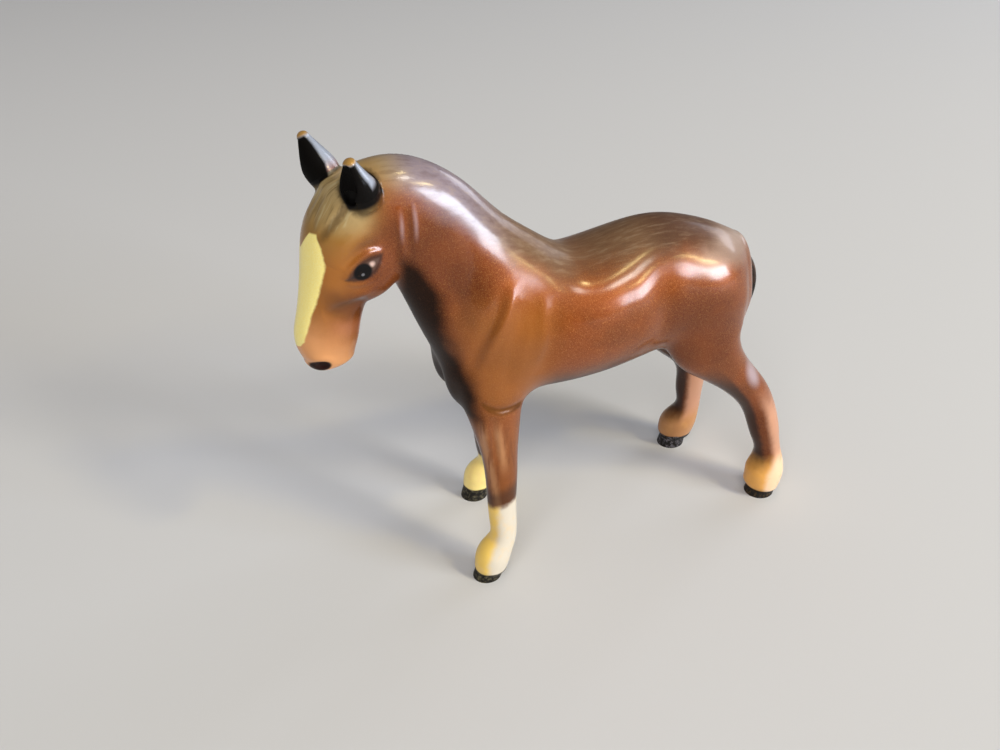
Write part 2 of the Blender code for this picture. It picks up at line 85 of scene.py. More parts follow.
# %% A block of space
class Space:
    """A block of space with a lattice in it, and the distance to the surface at each corner."""

    def __init__(self, low, high, step):
        self.low, self.step = np.array(low, float), step
        count = np.ceil((np.array(high, float) - self.low) / step).astype(int) + 1
        self.axes = [self.low[i] + step * np.arange(count[i]) for i in range(3)]
        self.field = np.full(tuple(count), far, np.float32)

    def window(self, low, high):
        """The part of the lattice between two corners, or None."""
        spans = []
        for axis, start, stop in zip(self.axes, low, high):
            first, last = np.searchsorted(axis, (start, stop))
            if last <= first:
                return None
            spans.append(slice(int(first), int(last)))
        return tuple(spans)

    def corners(self, window):
        """The x, y and z of a window's corners, shaped so that sums of them fill it."""
        x, y, z = (axis[span].astype(np.float32) for axis, span in zip(self.axes, window))
        return x[:, None, None], y[None, :, None], z[None, None, :]

    def read(self, values, points):
        """Values at any points, each worked out between the eight corners around it."""
        where = (points - self.low) / self.step
        base = np.clip(np.floor(where).astype(int), 0, np.array(values.shape[:3]) - 2)
        share = where - base
        total = 0.0
        for corner in np.ndindex(2, 2, 2):
            weight = np.prod(np.where(corner, share, 1 - share), axis=1)
            i, j, k = (base + corner).T
            total = total + weight[:, None] * values[i, j, k].reshape(len(points), -1)
        return total

    def slopes(self):
        """How fast the field grows along x, y and z at each corner."""
        return np.stack(np.gradient(self.field, self.step), axis=-1)

    def settle(self, slopes, points, times, most=far):
        """Moves points straight onto the surface, each by no more than most at a time."""
        for _ in range(times):
            slope = self.read(slopes, points)
            move = self.read(self.field, points) * slope / np.maximum((slope ** 2).sum(axis=1, keepdims=True), 0.2)
            reach = np.linalg.norm(move, axis=1, keepdims=True)
            points = points - move * np.minimum(1, most / np.maximum(reach, 1e-9))
        return points


# %% [markdown]
# ## Round forms
#
# Two kinds of form are enough. A `Lump` is an egg shape for one muscle. A `Limb` follows a line seen from the
# side, with its own thickness in front, behind and to each side at every row of a table, so that a table of ten
# rows draws a whole leg. Natural cubic curves run through the rows, because they bend like real tendons do.

# %% A smooth curve through the rows of a table
def curve_through(knots, rows):
    """A natural cubic curve through the rows of a table, one row at each knot."""
    knots, rows = np.asarray(knots, float), np.asarray(rows, float)
    count, gaps = len(knots), np.diff(knots)
    system, right = np.eye(count), np.zeros_like(rows)
    for i in range(1, count - 1):
        system[i, i - 1:i + 2] = gaps[i - 1], 2 * (gaps[i - 1] + gaps[i]), gaps[i]
        right[i] = 6 * ((rows[i + 1] - rows[i]) / gaps[i] - (rows[i] - rows[i - 1]) / gaps[i - 1])
    bend = np.linalg.solve(system, right)

    def at(place):
        place = np.clip(np.asarray(place, float), knots[0], knots[-1])
        i = np.clip(np.searchsorted(knots, place) - 1, 0, count - 2)
        ahead, behind = (knots[i + 1] - place)[..., None], (place - knots[i])[..., None]
        gap = gaps[i][..., None]
        return ((bend[i] * ahead ** 3 + bend[i + 1] * behind ** 3) / (6 * gap)
                + (rows[i] / gap - bend[i] * gap / 6) * ahead
                + (rows[i + 1] / gap - bend[i + 1] * gap / 6) * behind)

    return at


def along(points, count):
    """Evenly spread points on a smooth curve through some points."""
    points = np.asarray(points, float)
    walked = np.r_[0, np.cumsum(np.linalg.norm(np.diff(points, axis=0), axis=1))]
    return curve_through(walked, points)(np.linspace(0, walked[-1], count))


def rounded(u, v, w, a, b, c):
    """Nearly the distance to an egg with half sizes a, b and c."""
    reach = np.sqrt((u / a) ** 2 + (v / b) ** 2 + (w / c) ** 2) + 1e-6
    steep = np.sqrt((u / a ** 2) ** 2 + (v / b ** 2) ** 2 + (w / c ** 2) ** 2) + 1e-6
    return (reach - 1) * reach / steep


# %% Limbs and lumps
class Limb:
    """Rows of x, z, upper or front thickness, lower or rear thickness, y and half width."""

    def __init__(self, rows, caps):
        rows = np.asarray(rows, float)
        walked = np.r_[0, np.cumsum(np.hypot(*np.diff(rows[:, :2], axis=0).T))]
        self.rows = curve_through(walked, rows)(np.linspace(0, walked[-1], 160))
        self.walked = np.r_[0, np.cumsum(np.hypot(*np.diff(self.rows[:, :2], axis=0).T))]
        self.way = np.gradient(self.rows[:, :2], self.walked, axis=0)
        self.way /= np.linalg.norm(self.way, axis=1)[:, None]
        self.caps = caps
        most = max(self.rows[:, [2, 3, 5]].max(), *caps)
        self.low = self.rows[:, [0, 4, 1]].min(axis=0) - most
        self.high = self.rows[:, [0, 4, 1]].max(axis=0) + most

    def distance(self, x, y, z):
        plan = np.stack(np.broadcast_arrays(x[:, 0, :], z[0]), axis=-1).reshape(-1, 2)
        nearest = np.concatenate([
            ((part[:, None] - self.rows[None, :, :2]) ** 2).sum(axis=-1).argmin(axis=1)
            for part in np.array_split(plan, max(1, len(plan) // 20000))])
        step = ((plan - self.rows[nearest, :2]) * self.way[nearest]).sum(axis=1)
        walk, end = self.walked[nearest] + step, self.walked[-1]
        past = np.where(walk < 0, walk, np.where(walk > end, walk - end, 0.0))
        cap = np.where(walk < 0, *self.caps)
        walk = np.clip(walk, 0, end)
        row = np.stack([np.interp(walk, self.walked, column) for column in self.rows.T])
        way = np.stack([np.interp(walk, self.walked, column) for column in self.way.T])
        off = ((plan[:, 1] - row[1]) * way[0] - (plan[:, 0] - row[0]) * way[1]) / np.hypot(*way)
        thick = np.where(off > 0, row[2], row[3])
        shape = (x.shape[0], 1, z.shape[2])
        off, thick, past, cap, middle, half = (
            part.reshape(shape).astype(np.float32) for part in (off, thick, past, cap, row[4], row[5]))
        return rounded(y - middle, off, past, half, thick, cap)


class Lump:
    """An egg shape: middle, half sizes, and how far it leans forward in degrees."""

    def __init__(self, middle, half, lean=0.0):
        self.middle, self.half = np.array(middle, float), np.array(half, float)
        self.turn = np.array(Matrix.Rotation(np.radians(lean), 3, "Y"))
        most = np.sqrt(((self.turn * self.half) ** 2).sum(axis=1))
        self.low, self.high = self.middle - most, self.middle + most

    def distance(self, x, y, z):
        off = (x - self.middle[0], y - self.middle[1], z - self.middle[2])
        u, v, w = (sum(np.float32(self.turn[k, i]) * off[k] for k in range(3)) for i in range(3))
        return rounded(u, v, w, *(np.float32(half) for half in self.half))


# %% Melt forms together
def melt(first, second, softness):
    """The nearer of two surfaces, with a soft fillet where they meet."""
    near = np.maximum(softness - np.abs(first - second), 0) / softness
    return np.minimum(first, second) - near ** 3 * softness / 6


def put(space, form, softness, twin=False, dig=False):
    """Melts a form into the space, or digs it out. A twin is put on both sides of the horse."""
    reach = softness + 3.0
    low, high = form.low - reach, form.high + reach
    if twin:
        low[1], high[1] = -high[1], high[1]
    window = space.window(low, high)
    if window is None:
        return
    x, y, z = space.corners(window)
    found = form.distance(x, np.sqrt(y * y + np.float32(0.1)) if twin else y, z)
    here = space.field[window]
    space.field[window] = -melt(-here, found, softness) if dig else melt(here, found, softness)


# %% [markdown]
# ## The horse's proportions
#
# Horses are drawn from the height of the withers, the ridge between the shoulders. Each table below is a share
# of a few whole sizes, so the same rows would also make a pony or a heavier horse. The numbers lie close to
# those of the pieces in model.glb, so both have one shape.

# %% Trunk, neck and head
def shared_limb(start, reach, depth, width, caps, shares):
    """A limb whose rows are shares of its reach forward and up, of its depth twice, and of its width."""
    return Limb([(start[0] + x * reach[0], start[1] + z * reach[1], upper * depth, lower * depth, 0, half * width)
                 for x, z, upper, lower, half in shares], [cap * depth for cap in caps])


withers = 78.6
trunk_length, trunk_rear, trunk_depth, trunk_width = 63.0, -33.0, 32.0, 25.4
trunk_shares = [  # along, middle height, up, down, half width
    (0, 0.722, 0.405, 0.385, 0.305), (0.125, 0.74, 0.485, 0.355, 0.425),
    (0.3, 0.751, 0.562, 0.425, 0.472), (0.46, 0.751, 0.525, 0.475, 0.5),
    (0.635, 0.745, 0.48, 0.487, 0.5), (0.795, 0.757, 0.55, 0.502, 0.465),
    (0.92, 0.765, 0.56, 0.47, 0.41), (1, 0.752, 0.485, 0.42, 0.34)]
trunk = shared_limb((trunk_rear, 0), (trunk_length, withers), trunk_depth, trunk_width, (0.15, 0.19), trunk_shares)

neck_root, neck_reach, neck_rise, neck_depth, neck_width = (20.0, 64.6), 29.0, 27.0, 26.0, 18.0
neck_shares = [  # forward, up, crest, throat, half width
    (0, 0, 0.515, 0.615, 0.5), (0.24, 0.28, 0.495, 0.56, 0.455),
    (0.45, 0.555, 0.455, 0.46, 0.39), (0.63, 0.79, 0.42, 0.4, 0.345),
    (0.815, 0.955, 0.34, 0.37, 0.32), (1, 1, 0.255, 0.305, 0.31)]
neck = shared_limb(neck_root, (neck_reach, neck_rise), neck_depth, neck_width, (0.23, 0.15), neck_shares)

poll, head_drop, head_forward, head_depth, head_width = (50.5, 92.1), 30.8, 8.5, 16.0, 13.0
head_shares = [  # forward, down, face, jaw, half width
    (0, 0, 0.335, 0.345, 0.45), (0.25, 0.18, 0.4, 0.5, 0.5), (0.465, 0.375, 0.375, 0.565, 0.47),
    (0.69, 0.57, 0.32, 0.5, 0.375), (0.835, 0.73, 0.315, 0.46, 0.34), (0.935, 0.89, 0.315, 0.44, 0.34),
    (0.96, 1, 0.235, 0.39, 0.3)]
head = shared_limb(poll, (head_forward, -head_drop), head_depth, head_width, (0.25, 0.18), head_shares)
print("trunk, neck and head:", len(trunk_shares), len(neck_shares), len(head_shares), "rows")

# %% Legs
foreleg_shares = [  # down, front, rear, half width, outwards, bow
    (0, 0.5, 0.58, 0.5, 0, 0), (0.135, 0.43, 0.52, 0.49, 0.19, -0.1),
    (0.255, 0.34, 0.455, 0.41, 0.35, -0.3), (0.39, 0.27, 0.355, 0.34, 0.51, -0.62),
    (0.53, 0.24, 0.31, 0.3, 0.63, -0.84), (0.63, 0.23, 0.285, 0.28, 0.71, -0.92),
    (0.765, 0.2, 0.285, 0.27, 0.82, -1), (0.865, 0.215, 0.285, 0.29, 0.9, -0.93),
    (0.935, 0.3, 0.33, 0.355, 0.96, -0.3), (1, 0.28, 0.31, 0.34, 1, 0)]
hindleg_shares = [  # down, front, rear, half width, outwards, bow on the left, bow on the right
    (0, 0.475, 0.45, 0.44, 0, 0, 0), (0.125, 0.545, 0.42, 0.5, 0.13, 0.65, 0.95),
    (0.255, 0.395, 0.285, 0.46, 0.26, 0.4, 0.75), (0.37, 0.275, 0.22, 0.375, 0.39, -0.25, 0.08),
    (0.48, 0.215, 0.225, 0.32, 0.51, -0.78, -0.65), (0.575, 0.195, 0.225, 0.3, 0.58, -1, -0.9),
    (0.72, 0.175, 0.22, 0.28, 0.73, -0.95, -0.82), (0.85, 0.175, 0.205, 0.3, 0.83, -0.8, -0.66),
    (0.93, 0.275, 0.24, 0.42, 0.93, -0.5, -0.28), (1, 0.26, 0.23, 0.41, 1, 0, 0)]


class Leg:
    """One leg: its top and foot, the side it is on, and its hoof."""

    def __init__(self, top, foot, shares, column, bow, size, caps, hoof, heavy=1.0):
        self.side = 1 if foot[1] > 0 else -1
        self.rows = np.array([
            (top[0] + row[0] * (foot[0] - top[0]) + row[column] * bow, top[2] + row[0] * (foot[2] - top[2]),
             row[1] * size[0], row[2] * size[0] * heavy, top[1] + row[4] * (foot[1] - top[1]), row[3] * size[1])
            for row in shares])
        self.shares = [row[0] for row in shares]
        self.form = Limb(self.rows, caps)
        x, y, height, length, width = hoof
        self.hoof_place, self.hoof_height = (x, y), height
        self.hoof = Limb([(x - 0.3, height, length * 0.44, length * 0.46, y, width * 0.45),
                          (x, height / 2, length * 0.48, length * 0.48, y, width * 0.48),
                          (x + 0.5, -1.5, length * 0.53, length * 0.49, y, width * 0.51)], (0.5, 0.4))

    def at(self, share):
        """The middle of the leg at a share of the way down."""
        row = [np.interp(share, self.shares, column) for column in self.rows.T]
        return np.array([row[0], row[4], row[1]])


legs = {
    "left_foreleg": Leg((27, 7, 52.6), (29.6, 13, 3.2), foreleg_shares, 5, 2.6, (13, 10), (5, 2.6),
                        (30, 12.9, 2.6, 6.6, 6.0)),
    "right_foreleg": Leg((26, -6.8, 52.6), (22.5, -13.7, 3.8), foreleg_shares, 5, 3.2, (12.1, 9.5), (5, 2.6),
                         (22.9, -13.6, 3.6, 6.8, 6.4)),
    "left_hind_leg": Leg((-27, 6.5, 56.6), (-45.4, 14, 3.8), hindleg_shares, 5, 4.4, (19, 10.4), (6, 2.8),
                         (-45.8, 13.8, 2.6, 7.4, 7.0)),
    "right_hind_leg": Leg((-27, -6.5, 56.6), (-36, -12.4, 4.0), hindleg_shares, 6, 4.4, (19, 9.7), (6, 2.6),
                          (-35.2, -12.2, 4.0, 7.2, 6.6), heavy=1.04)}
print("legs:", ", ".join(f"{name} {leg.rows[0, 1] - leg.rows[-1, 1]:.0f} mm" for name, leg in legs.items()))

# %% Muscles, tail and ears
# form, softness of the fillet, on both sides
masses = [
    (trunk, 2.0, False), (neck, 8.0, False),
    (Lump((-26, 4.8, 58.6), (9.2, 6.8, 11), lean=10), 7, True),
    (Lump((4, 4.7, 60), (13, 7.4, 9.5)), 9, True),
    (Lump((24, 6.3, 58.6), (7.6, 5.6, 14.5), lean=14), 6, True),
    (Lump((30.3, 4, 51), (4.6, 3.6, 7.2)), 6, True)]
masses += [(leg.form, 4.0 if "fore" in name else 5.0, False) for name, leg in legs.items()]
masses += [(leg.hoof, 1.0, False) for leg in legs.values()]
head_masses = [(head, 3.5, False), (Lump((48.6, 2.2, 80.0), (6.4, 3.6, 7.2), lean=-14), 3.0, True)]

tail_thickness, tail_width = 3.0, 5.0
tail_rows = [  # x, z, then shares: inner, outer, half width
    (-36, 65.2, 0.66, 0.48, 0.44), (-39, 61.6, 0.8, 0.53, 0.6), (-40.6, 56.6, 0.9, 0.53, 0.64),
    (-39.9, 50.6, 0.8, 0.5, 0.54), (-36.4, 44.6, 0.45, 0.42, 0.3)]
tail = shared_limb((0, 0), (1, 1), tail_thickness, tail_width, (2 / 3, 1 / 2), tail_rows)


class Ear:
    """A pointed shell on a line from its root to its tip, which opens to the front and outwards."""

    def __init__(self, root, tip, fat):
        self.root, self.tip = np.array(root, float), np.array(tip, float)
        self.opens = np.array([0.80, 0.52 if root[1] > 0 else -0.52, 0.0])
        rows = [(0, 2.6, 2.6, 2.8), (0.3, 3.1, 3.2, 3.2), (0.65, 2.2, 2.8, 2.8), (1, 1.1, 1.2, 1.2)]
        spots = [self.root + share * (self.tip - self.root) for share, *_ in rows]
        self.form = Limb([(spot[0], spot[2], a * fat, b * fat, spot[1], h * fat)
                          for spot, (_, a, b, h) in zip(spots, rows)], (1.5, 1.0))


ears = {"left_ear": Ear((48.2, 4.5, 92.6), (50.6, 5.9, 100.6), 1.03),
        "right_ear": Ear((52.5, -3.8, 93.8), (55.6, -6.0, 102.0), 1.0)}
print("masses:", len(masses) + len(head_masses) + 1 + len(ears))

# %% [markdown]
# ## Carving
#
# On the real figure the sculptor pressed grooves and raised ridges into the master: lids round the eye, the
# bony crest of the cheek, locks of hair on the forehead, the muscle lines of the shoulder, the fold of the
# flank, tendons on the forearm and the crease where the foreleg was glued on. Each one is a line of a few
# points here, with a width and a depth. The points are first settled onto the plain surface, on a coarse
# lattice of the whole horse, so that every piece is carved by the same lines.

# %% Lines of the carving
# name, points, width, depth (below 0 is a ridge), fade at the ends, both sides
carving = [
    ("upper lid", [(53.7, 6, 79.6), (52.3, 6, 82), (50.5, 6, 83.2), (48.5, 6, 83.8), (46.2, 6, 83.3)],
     0.75, -0.42, 0.4, True),
    ("lower lid", [(53.4, 6, 79), (51.9, 6, 78.1), (50.1, 6, 78.1), (48.4, 6, 79), (46.6, 6, 81.4)],
     0.65, -0.3, 0.4, True),
    ("lid fold", [(53.9, 6, 82), (52.2, 6, 84), (49.6, 6, 85.3), (46.8, 6, 85)], 0.9, 0.22, 0.6, True),
    ("brow", [(56, 6, 82.6), (53.6, 6, 85.4), (50, 6, 87), (46.4, 6, 86.2)], 1.7, -0.35, 0.6, True),
    ("eyeball", [(51.6, 6, 80.2), (49.8, 6, 80.8), (48.2, 6, 81.8)], 1.5, -0.25, 0, True),
    ("cheek crest", [(57.6, 5, 75.2), (54.2, 5, 75.2), (50.6, 5, 75.9), (47.6, 5, 77.6)], 1.1, -0.4, 0.7, True),
    ("cheek hollow", [(58.2, 4, 72.6), (55, 4, 72.8), (51.8, 4, 73.2), (49.6, 4, 74)], 1.3, 0.55, 0.7, True),
    ("jaw line", [(43, 5.8, 91.5), (42.9, 5.6, 87.5), (42.6, 5.5, 83.5), (43.2, 5.2, 80)], 0.7, -0.32, 0.5, True),
    ("throat line", [(40.3, 5.8, 91.5), (40.1, 5.9, 88), (40.1, 5.9, 84.5)], 0.6, -0.25, 0.5, True),
    ("jaw fold", [(41.6, 5.8, 90.5), (41.5, 5.8, 87), (41.3, 5.6, 82.5), (41.6, 5, 78.5)], 0.7, 0.35, 0.5, True),
    ("nostril rim", [(61.6, 2.5, 62.6), (59.9, 3.6, 63), (58, 3.9, 62.2), (57.2, 3.6, 60.8)],
     0.7, -0.3, 0.6, True),
    ("lock groove", [(51.6, 5.6, 93.4), (53.6, 5.4, 91.2), (55.6, 5.1, 89.4), (57, 4.6, 87.6)],
     0.75, 0.34, 0.6, True),
    ("inner lock", [(54.2, 2, 95.2), (55.8, 2.1, 93), (57.2, 2.6, 90.4), (57.8, 3.2, 88.6)],
     0.6, 0.3, 0.6, True),
    ("mid lock", [(53.4, 0.3, 96), (56, 0.4, 93), (57.6, 0.3, 90.2)], 0.6, 0.2, 0.6, False),
    ("shoulder ridge", [(21.6, 10, 75), (23.6, 11, 71), (25.8, 11.4, 66.5), (28.6, 11.6, 61.5), (31, 10.9, 54.5)],
     1.3, -0.55, 1.3, True),
    ("shoulder groove", [(24.2, 10, 74), (26, 11, 70), (28.2, 11, 65.5), (30.8, 11, 60), (32.6, 10, 54.5)],
     1.5, 0.7, 1.3, True),
    ("shoulder rear", [(21, 11, 70), (22.6, 11.6, 64), (24.6, 12, 57), (25.4, 12.4, 51.5)],
     1.8, 0.38, 0.7, True),
    ("barrel ridge", [(16.2, 10.4, 71.5), (16.8, 11.1, 67.5), (17.4, 12.1, 62), (18.6, 12.2, 55.5)],
     1.4, -0.42, 1.3, True),
    ("elbow groove", [(14.6, 11, 66), (15.2, 12, 60), (17.6, 12, 52.5)], 1.8, 0.32, 0.7, True),
    ("elbow crease", [(30.6, 11, 49.6), (29.2, 12.4, 48.1), (27, 13, 47), (24, 12.6, 46.6), (21.2, 11, 46.4)],
     0.55, 0.5, 0.7, "foreleg"),
    ("elbow bulge", [(29, 12, 50.6), (26, 13, 49.2), (22.4, 12, 49.2)], 1.8, -0.2, 0.8, "foreleg"),
    ("flank ridge", [(-4.6, 9, 71), (-5, 11.2, 66), (-5.4, 12, 60), (-5.4, 10.6, 52.6)],
     2.2, -0.16, 1.2, True),
    ("flank fold", [(-10.8, 9.2, 71.2), (-11.2, 11.2, 66.5), (-11.4, 12, 61), (-11, 12, 55.5),
                    (-10, 11, 50)], 2.6, 0.6, 1.3, True),
    ("buttock groove", [(-33.4, 7.2, 63), (-33.6, 8.6, 57), (-33.6, 8.8, 50)], 1.5, 0.3, 0.7, True),
    ("forearm tendon", [(30.2, 12.3, 46), (30, 12.6, 41.5), (29.2, 12.6, 36.5)], 0.8, -0.45, 0.6, "foreleg"),
    ("forearm groove", [(28.4, 12.8, 45.6), (28.2, 12.9, 41), (27.6, 13, 33)], 0.75, 0.55, 0.6, "foreleg"),
    ("throat groove", [(36, 5, 80), (33.6, 6.4, 72.6), (33.6, 7.4, 66)], 2.4, 0.5, 0.7, True),
    ("left fetlock", [(26.2, 16.2, 8.6), (28.8, 16.2, 8), (31.2, 15, 8.6)], 0.8, 0.1, 0.5, False)]
print("carved lines:", len(carving))


# %% Settle the lines on the plain horse
def plain(space, eared=True):
    """The horse without carving, ear cups or tail."""
    for form, softness, twin in masses + head_masses:
        put(space, form, softness, twin)
    for ear in ears.values() if eared else ():
        put(space, ear.form, 1.0)


rough = Space((-66, -22, -4), (72, 22, 108), rough_step)
plain(rough)
rough_slopes = rough.slopes()
strokes = []
mirror = np.array([1, -1, 1])
for _, points, width, depth, fade, twin in carving:
    lines = [np.array(points, float)]
    if twin:
        lines.append(lines[0] * mirror)
    if twin == "foreleg":
        lines[1] += legs["right_foreleg"].at(elbow_share) - legs["left_foreleg"].at(elbow_share) * mirror
    for line in lines:
        strokes.append((rough.settle(rough_slopes, along(line, stroke_points), 5), width, depth, fade))
print("strokes:", len(strokes))


# %% Press the lines into a space
def press(space, strokes):
    """Adds each line's dent or ridge to the field, which dies away in a bell curve beside the line."""
    for line, width, depth, fade in strokes:
        reach = 2.4 * width
        window = space.window(line.min(axis=0) - reach, line.max(axis=0) + reach)
        if window is None:
            continue
        here = space.field[window]
        close = np.nonzero(np.abs(here) < reach)
        spots = np.stack([axis[span][i] for axis, span, i in zip(space.axes, window, close)], axis=-1)
        best, place = np.full(len(spots), far), np.zeros(len(spots))
        for i, (start, stop) in enumerate(zip(line[:-1], line[1:])):
            way = stop - start
            share = np.clip(((spots - start) @ way) / (way @ way + 1e-9), 0, 1)
            off = np.linalg.norm(spots - start - share[:, None] * way, axis=1)
            nearer = off < best
            best[nearer], place[nearer] = off[nearer], (i + share[nearer]) / (len(line) - 1)
        strength = np.sin(np.pi * np.clip(place, 0, 1)) ** fade if fade else 1.0
        here[close] += (depth * strength * np.exp(-(best / width) ** 2)).astype(np.float32)


# %% [markdown]
# ## Pits and cups
#
# Nostrils and ear cups are dug out, not painted on, since their edges catch the light. The cup opens to the
# front and outwards, and its rim stays as a thin wall.

# %% Pits and cups
pits = [(Lump((59.9, 4.2, 60.8), (1.7, 1.3, 1.15), lean=12), 0.5)]
cup_rows = [  # share of the way up the ear, distance ahead of its line, half depth and half width of the cup
    (0.22, 3.0, 1.2, 1.1), (0.45, 3.1, 2.0, 1.8), (0.70, 2.6, 1.8, 1.6), (0.92, 1.7, 0.9, 0.8)]
cups = []
for ear in ears.values():
    spots = [ear.root + share * (ear.tip - ear.root) + ear.opens * out for share, out, *_ in cup_rows]
    cups.append(Limb([(spot[0], spot[2], deep, deep, spot[1], wide)
                      for spot, (_, _, deep, wide) in zip(spots, cup_rows)], (0.9, 0.8)))


def whole(space):
    """The carved horse without its tail."""
    plain(space)
    press(space, strokes)
    for form, softness in pits:
        put(space, form, softness, twin=True, dig=True)
    for form in cups:
        put(space, form, 0.6, dig=True)


# %% [markdown]
# ## Cutting the horse into its pieces
#
# The figure is moulded as two body shells, a head, two ears, four legs and a tail. The seams are planes, so
# each piece is found in its own block of space, cut on its planes and closed with a flat cap. The seams are
# glued, filled and painted over on the real figure, which is why the cuts leave no gap. The surface normals
# come from the field and not from the faces: two pieces then shine as one across a seam.

# %% Surfaces and cuts
def surface(space):
    """Closed quads where the field is 0, settled exactly onto it."""
    lattice = openvdb.FloatGrid(background=far)
    lattice.copyFromArray(np.ascontiguousarray(space.field))
    points, _, quads = lattice.convertToPolygons(isovalue=0.0, adaptivity=0)
    return np.asarray(points, float) * space.step + space.low, np.asarray(quads)


def loops_of(edges):
    """Sorts loose edges into closed loops of points."""
    left, loops = set(edges), []
    while left:
        edge = left.pop()
        loop, point = [edge.verts[0]], edge.verts[1]
        while point is not loop[0]:
            loop.append(point)
            edge = next((other for other in point.link_edges if other in left), None)
            if edge is None:
                raise RuntimeError("a cut isn't closed")
            left.remove(edge)
            point = edge.other_vert(point)
        loops.append(loop)
    return loops


def cut(shape, through, way, inside=None, cap=True):
    """Takes off what is beyond a plane, in one region or everywhere, and caps each loop with a flat face."""
    faces = [face for face in shape.faces if inside is None or inside(face.calc_center_median())]
    edges = {edge for face in faces for edge in face.edges}
    points = {point for face in faces for point in face.verts}
    way = Vector(way).normalized()
    made = bmesh.ops.bisect_plane(shape, geom=[*faces, *edges, *points], dist=1e-5, plane_co=Vector(through),
                                  plane_no=way, clear_outer=True)
    loops = loops_of(part for part in made["geom_cut"] if isinstance(part, bmesh.types.BMEdge) and part.is_boundary)
    for loop in loops if cap else ():
        face = shape.faces.new(loop)
        face.normal_update()
        if face.normal.dot(way) < 0:
            face.normal_flip()
    return len(loops)


def drop_loose(shape, spot):
    """Keeps only the part that holds the point nearest to a spot."""
    first = min(shape.verts, key=lambda point: (point.co - Vector(spot)).length)
    kept, front = {first}, [first]
    while front:
        point = front.pop()
        for edge in point.link_edges:
            other = edge.other_vert(point)
            if other not in kept:
                kept.add(other)
                front.append(other)
    bmesh.ops.delete(shape, geom=[point for point in shape.verts if point not in kept], context="VERTS")


def read_all(items, key, kind, width=1):
    """One setting of all points, corners or faces of a mesh."""
    values = np.empty(len(items) * width, kind)
    items.foreach_get(key, values)
    return values


def make_piece(name, space, cuts, spot):
    """Turns a space into the piece that holds a spot and stands for the piece of that name in model.glb."""
    slopes = space.slopes()
    points, quads = surface(space)
    points = space.settle(slopes, points, 2, 0.4 * space.step)
    draft = bpy.data.meshes.new("draft")
    draft.from_pydata(points.tolist(), [], quads.tolist())
    shape = bmesh.new()
    shape.from_mesh(draft)
    bpy.data.meshes.remove(draft)
    for face in shape.faces:
        face.smooth = True
    loops = [cut(shape, *plane) for plane in cuts]
    drop_loose(shape, spot)
    holes = sum(edge.is_boundary for edge in shape.edges)
    mesh = bpy.data.meshes.new(name)
    shape.to_mesh(mesh)
    shape.free()
    spots = read_all(mesh.vertices, "co", float, 3).reshape(-1, 3)
    normals = space.read(slopes, spots)
    normals /= np.linalg.norm(normals, axis=1)[:, None] + 1e-9
    mesh.vertices.foreach_set("co", metres(spots).ravel())
    # flat caps keep their own normals, and the rest take theirs from the field
    smooth = np.repeat(read_all(mesh.polygons, "use_smooth", bool), read_all(mesh.polygons, "loop_total", int))
    owner = read_all(mesh.loops, "vertex_index", int)
    mesh.normals_split_custom_set(np.where(smooth[:, None], normals[owner], 0.0).tolist())
    mesh.update()
    piece = add_object(f"painted_{name}", mesh)
    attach(piece, "root")
    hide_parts(name)
    print(f"{name}: {len(mesh.polygons)} faces, loops cut {loops}, open edges {holes}")
    return piece


# %% The seams
waist = 6.0


class Seam:
    """The plane where a leg joins the body."""

    def __init__(self, name, leg):
        fore = "fore" in name
        self.through = leg.at(elbow_share if fore else thigh_share)
        self.way = (0, -0.75 * leg.side, 1) if fore else (0.37, -0.3 * leg.side, 1)
        self.inside = lambda spot: (spot.x > waist) == fore and spot.y * leg.side > -1e-4


seams = {name: Seam(name, leg) for name, leg in legs.items()}
head_seam = ((41.0, 0, 87.55), (0.991, 0, 0.1305))

ear_seams = {}
bare = Space((40, -12, 82), (62, 12, 106), 0.5)
plain(bare, eared=False)
bare_slopes = bare.slopes()
for name, ear in ears.items():
    # each ear is cut 0.5 mm out from the bare head, square to a way between the head's slope and the ear's line
    rise = ear.tip - ear.root
    line = ear.root + np.linspace(0, 1, 200)[:, None] * rise
    root = line[np.argmax(bare.read(bare.field, line)[:, 0] > 0.5)]
    way = bare.read(bare_slopes, root[None])[0] + 1.1 * rise / np.linalg.norm(rise)
    ear_seams[name] = (root, way / np.linalg.norm(way))
    print(name, "root", root.round(1), "way", ear_seams[name][1].round(2))


def near_ear(name, most=5.0):
    """Whether a spot lies round the line of an ear."""
    root, way = ears[name].root, ears[name].tip - ears[name].root
    way = way / np.linalg.norm(way)

    def inside(spot):
        off = np.array(spot) - root
        return off @ off - (off @ way) ** 2 < most ** 2

    return inside


# %% [markdown]
# ## The pieces
#
# A finer lattice is spent where the carving is finest: 0.4 mm on the body, 0.27 mm on the legs, 0.2 mm on the
# head and the tail, and 0.13 mm on the ears.

# %% Body shells
pieces = {}
body_space = Space((-43, -17.5, 36), (47, 17.5, 101), body_step)
whole(body_space)
for name, side in (("body_left_shell", 1), ("body_right_shell", -1)):
    planes = [(seam.through, -np.array(seam.way), seam.inside) for seam in seams.values()]
    planes += [head_seam, ((0, 0, 0), (0, -side, 0))]
    pieces[name] = make_piece(name, body_space, planes, (0, side * 12, 60))

# %% Head and ears
head_space = Space((37, -10, 56), (67, 10, 106), head_step)
whole(head_space)
planes = [(head_seam[0], -np.array(head_seam[1]))]
planes += [(*seam, near_ear(name), False) for name, seam in ear_seams.items()]
pieces["head"] = make_piece("head", head_space, planes, (60, 0, 75))
for name, ear in ears.items():
    low, high = np.minimum(ear.root, ear.tip) - 5.2, np.maximum(ear.root, ear.tip) + 4.6
    ear_space = Space(low, high, ear_step)
    whole(ear_space)
    pieces[name] = make_piece(name, ear_space, [(ear_seams[name][0], -ear_seams[name][1], None, False)], ear.tip)

